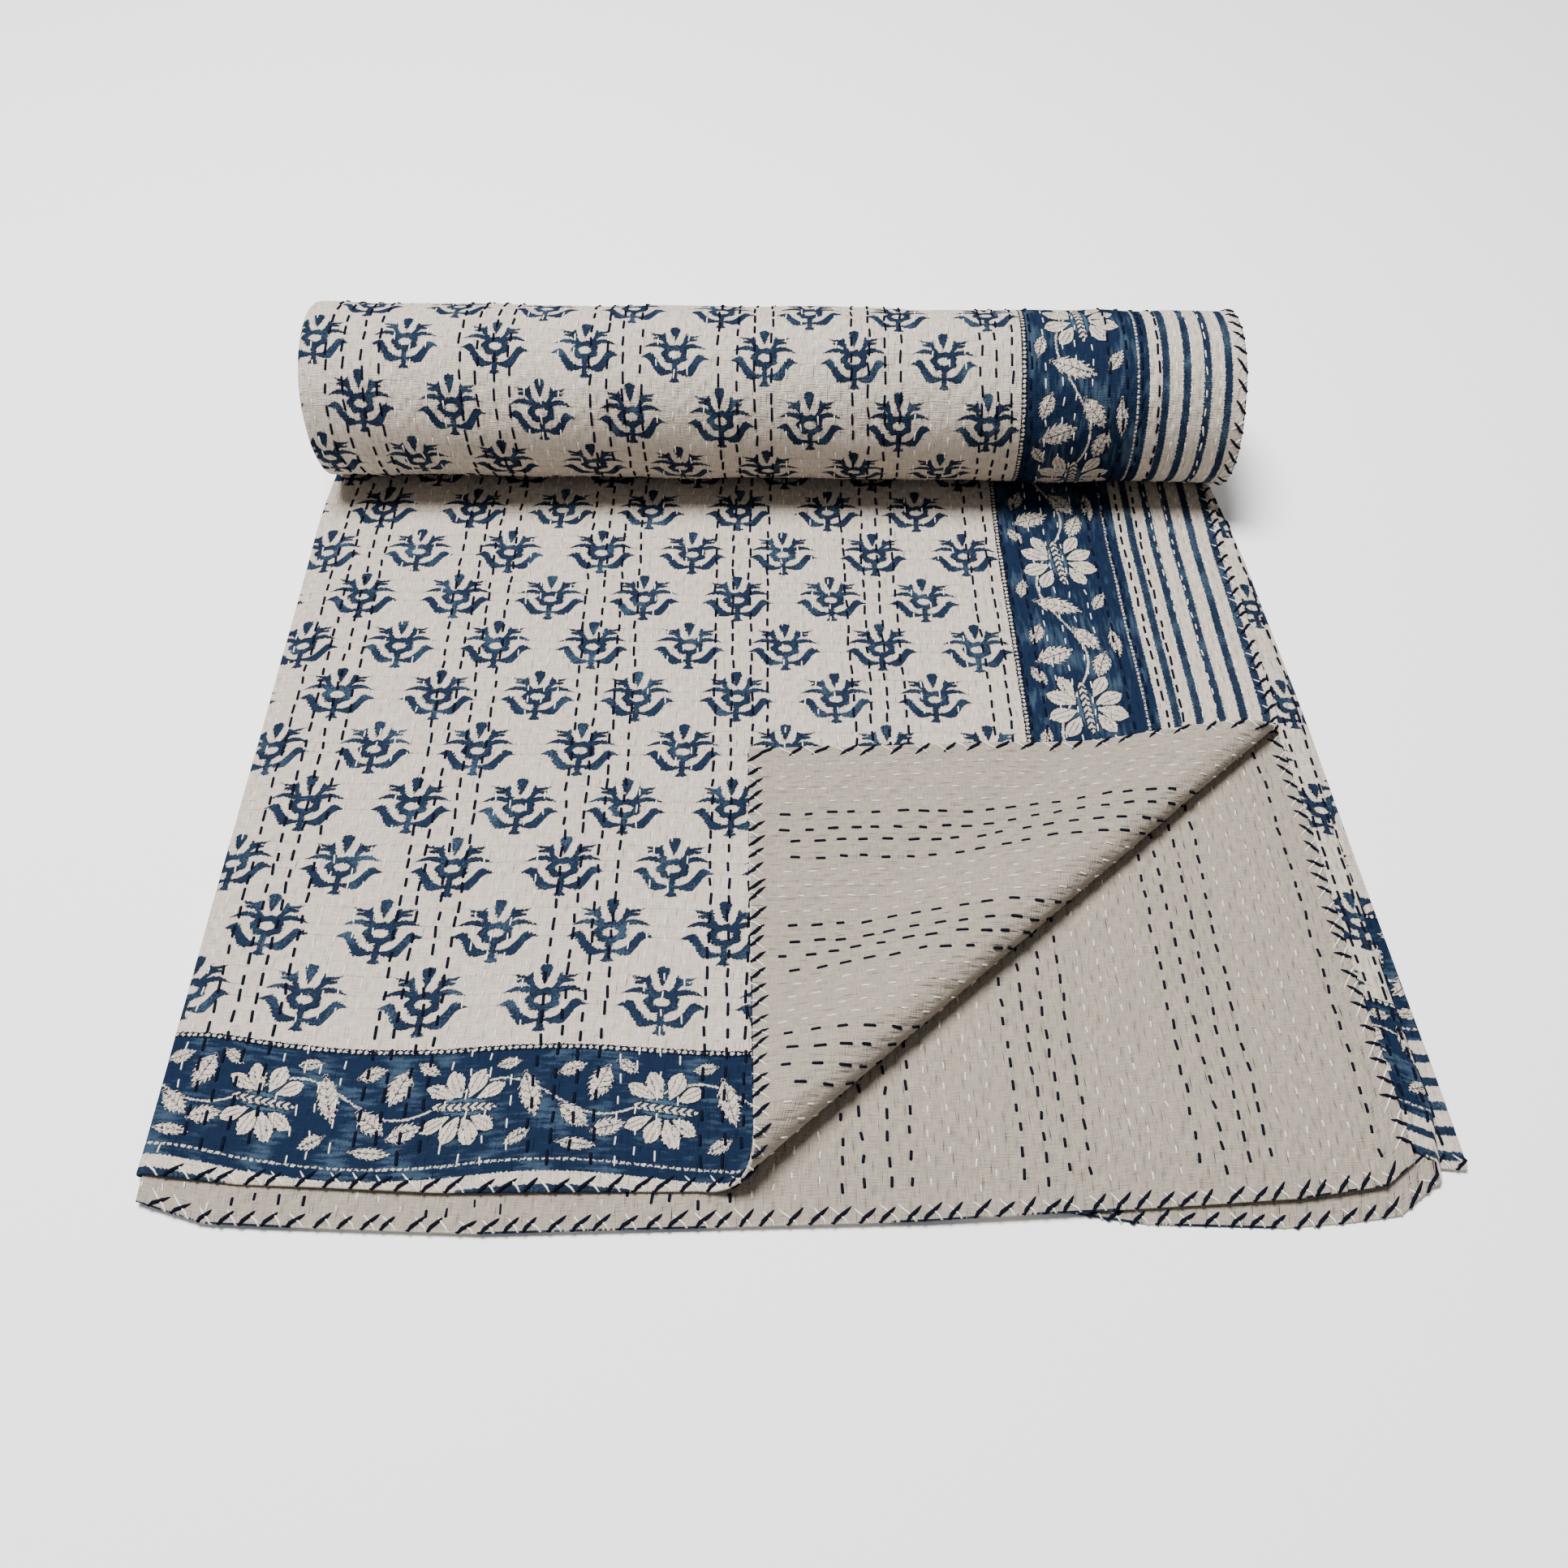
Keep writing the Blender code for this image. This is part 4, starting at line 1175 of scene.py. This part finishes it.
def studio_light():
    world = bpy.data.worlds.new("studio")
    world.use_nodes = True
    background = next(n for n in world.node_tree.nodes if n.type == "BACKGROUND")
    background.inputs["Color"].default_value = (1.0, 1.0, 1.0, 1.0)
    background.inputs["Strength"].default_value = AIR_LIGHT
    bpy.context.scene.world = world
    light = bpy.data.lights.new("key", "AREA")
    light.shape, light.size, light.energy = "DISK", LAMP_SIZE, LAMP_POWER
    back = np.array(LAMP_AT) / np.linalg.norm(LAMP_AT)
    right = np.cross((0, 0, 1), back)
    right /= np.linalg.norm(right)
    placed(linked("key", light), right, np.cross(back, right), back, LAMP_AT)


def studio_camera():
    camera = bpy.data.cameras.new("camera")
    camera.lens, camera.sensor_width, camera.sensor_fit = LENS, SENSOR, "HORIZONTAL"
    camera.clip_start = 0.01
    view = linked("camera", camera)
    placed(view, CAMERA_RIGHT, CAMERA_UP, CAMERA_BACK, CAMERA_AT)
    bpy.context.scene.camera = view


# ---------------------------------------------------------------- the whole
for obj in bpy.data.objects:
    obj.select_set(False)
face, back = cloth_mesh("printed_cloth", 1), cloth_mesh("backing_cloth", -1)
dress(face, printed_cotton("field"), printed_cotton("border"), printed_cotton("edge"))
dress(back, plain_cotton())
navy, cream = thread("thread_navy", NAVY, NAVY_LIGHT), thread("thread_cream", CREAM, CREAM_LIGHT)
# Running stitches by their pitch and their length on the printed and on the plain side
dark_rows = rows_of(DARK, 0.0108, 0.0072, 0.0050)
pale_rows = rows_of(PALE, 0.0105, 0.0050, 0.0036)
dress(threads_mesh("dark_running_stitches", *dark_rows, 0.00100, RUNNING_SHARES), navy)
dress(threads_mesh("cream_running_stitches", *pale_rows, 0.00055, RUNNING_SHARES), cream)
# Hem stitches by their slant and where they start
dress(threads_mesh("dark_hem_stitches", *hem_stitches(0.0074, 0.0), 0.00092, WHIP_SHARES), navy)
dress(threads_mesh("cream_hem_stitches", *hem_stitches(-0.0064, 0.0050), 0.00052, WHIP_SHARES), cream)
studio_floor()
studio_light()
studio_camera()
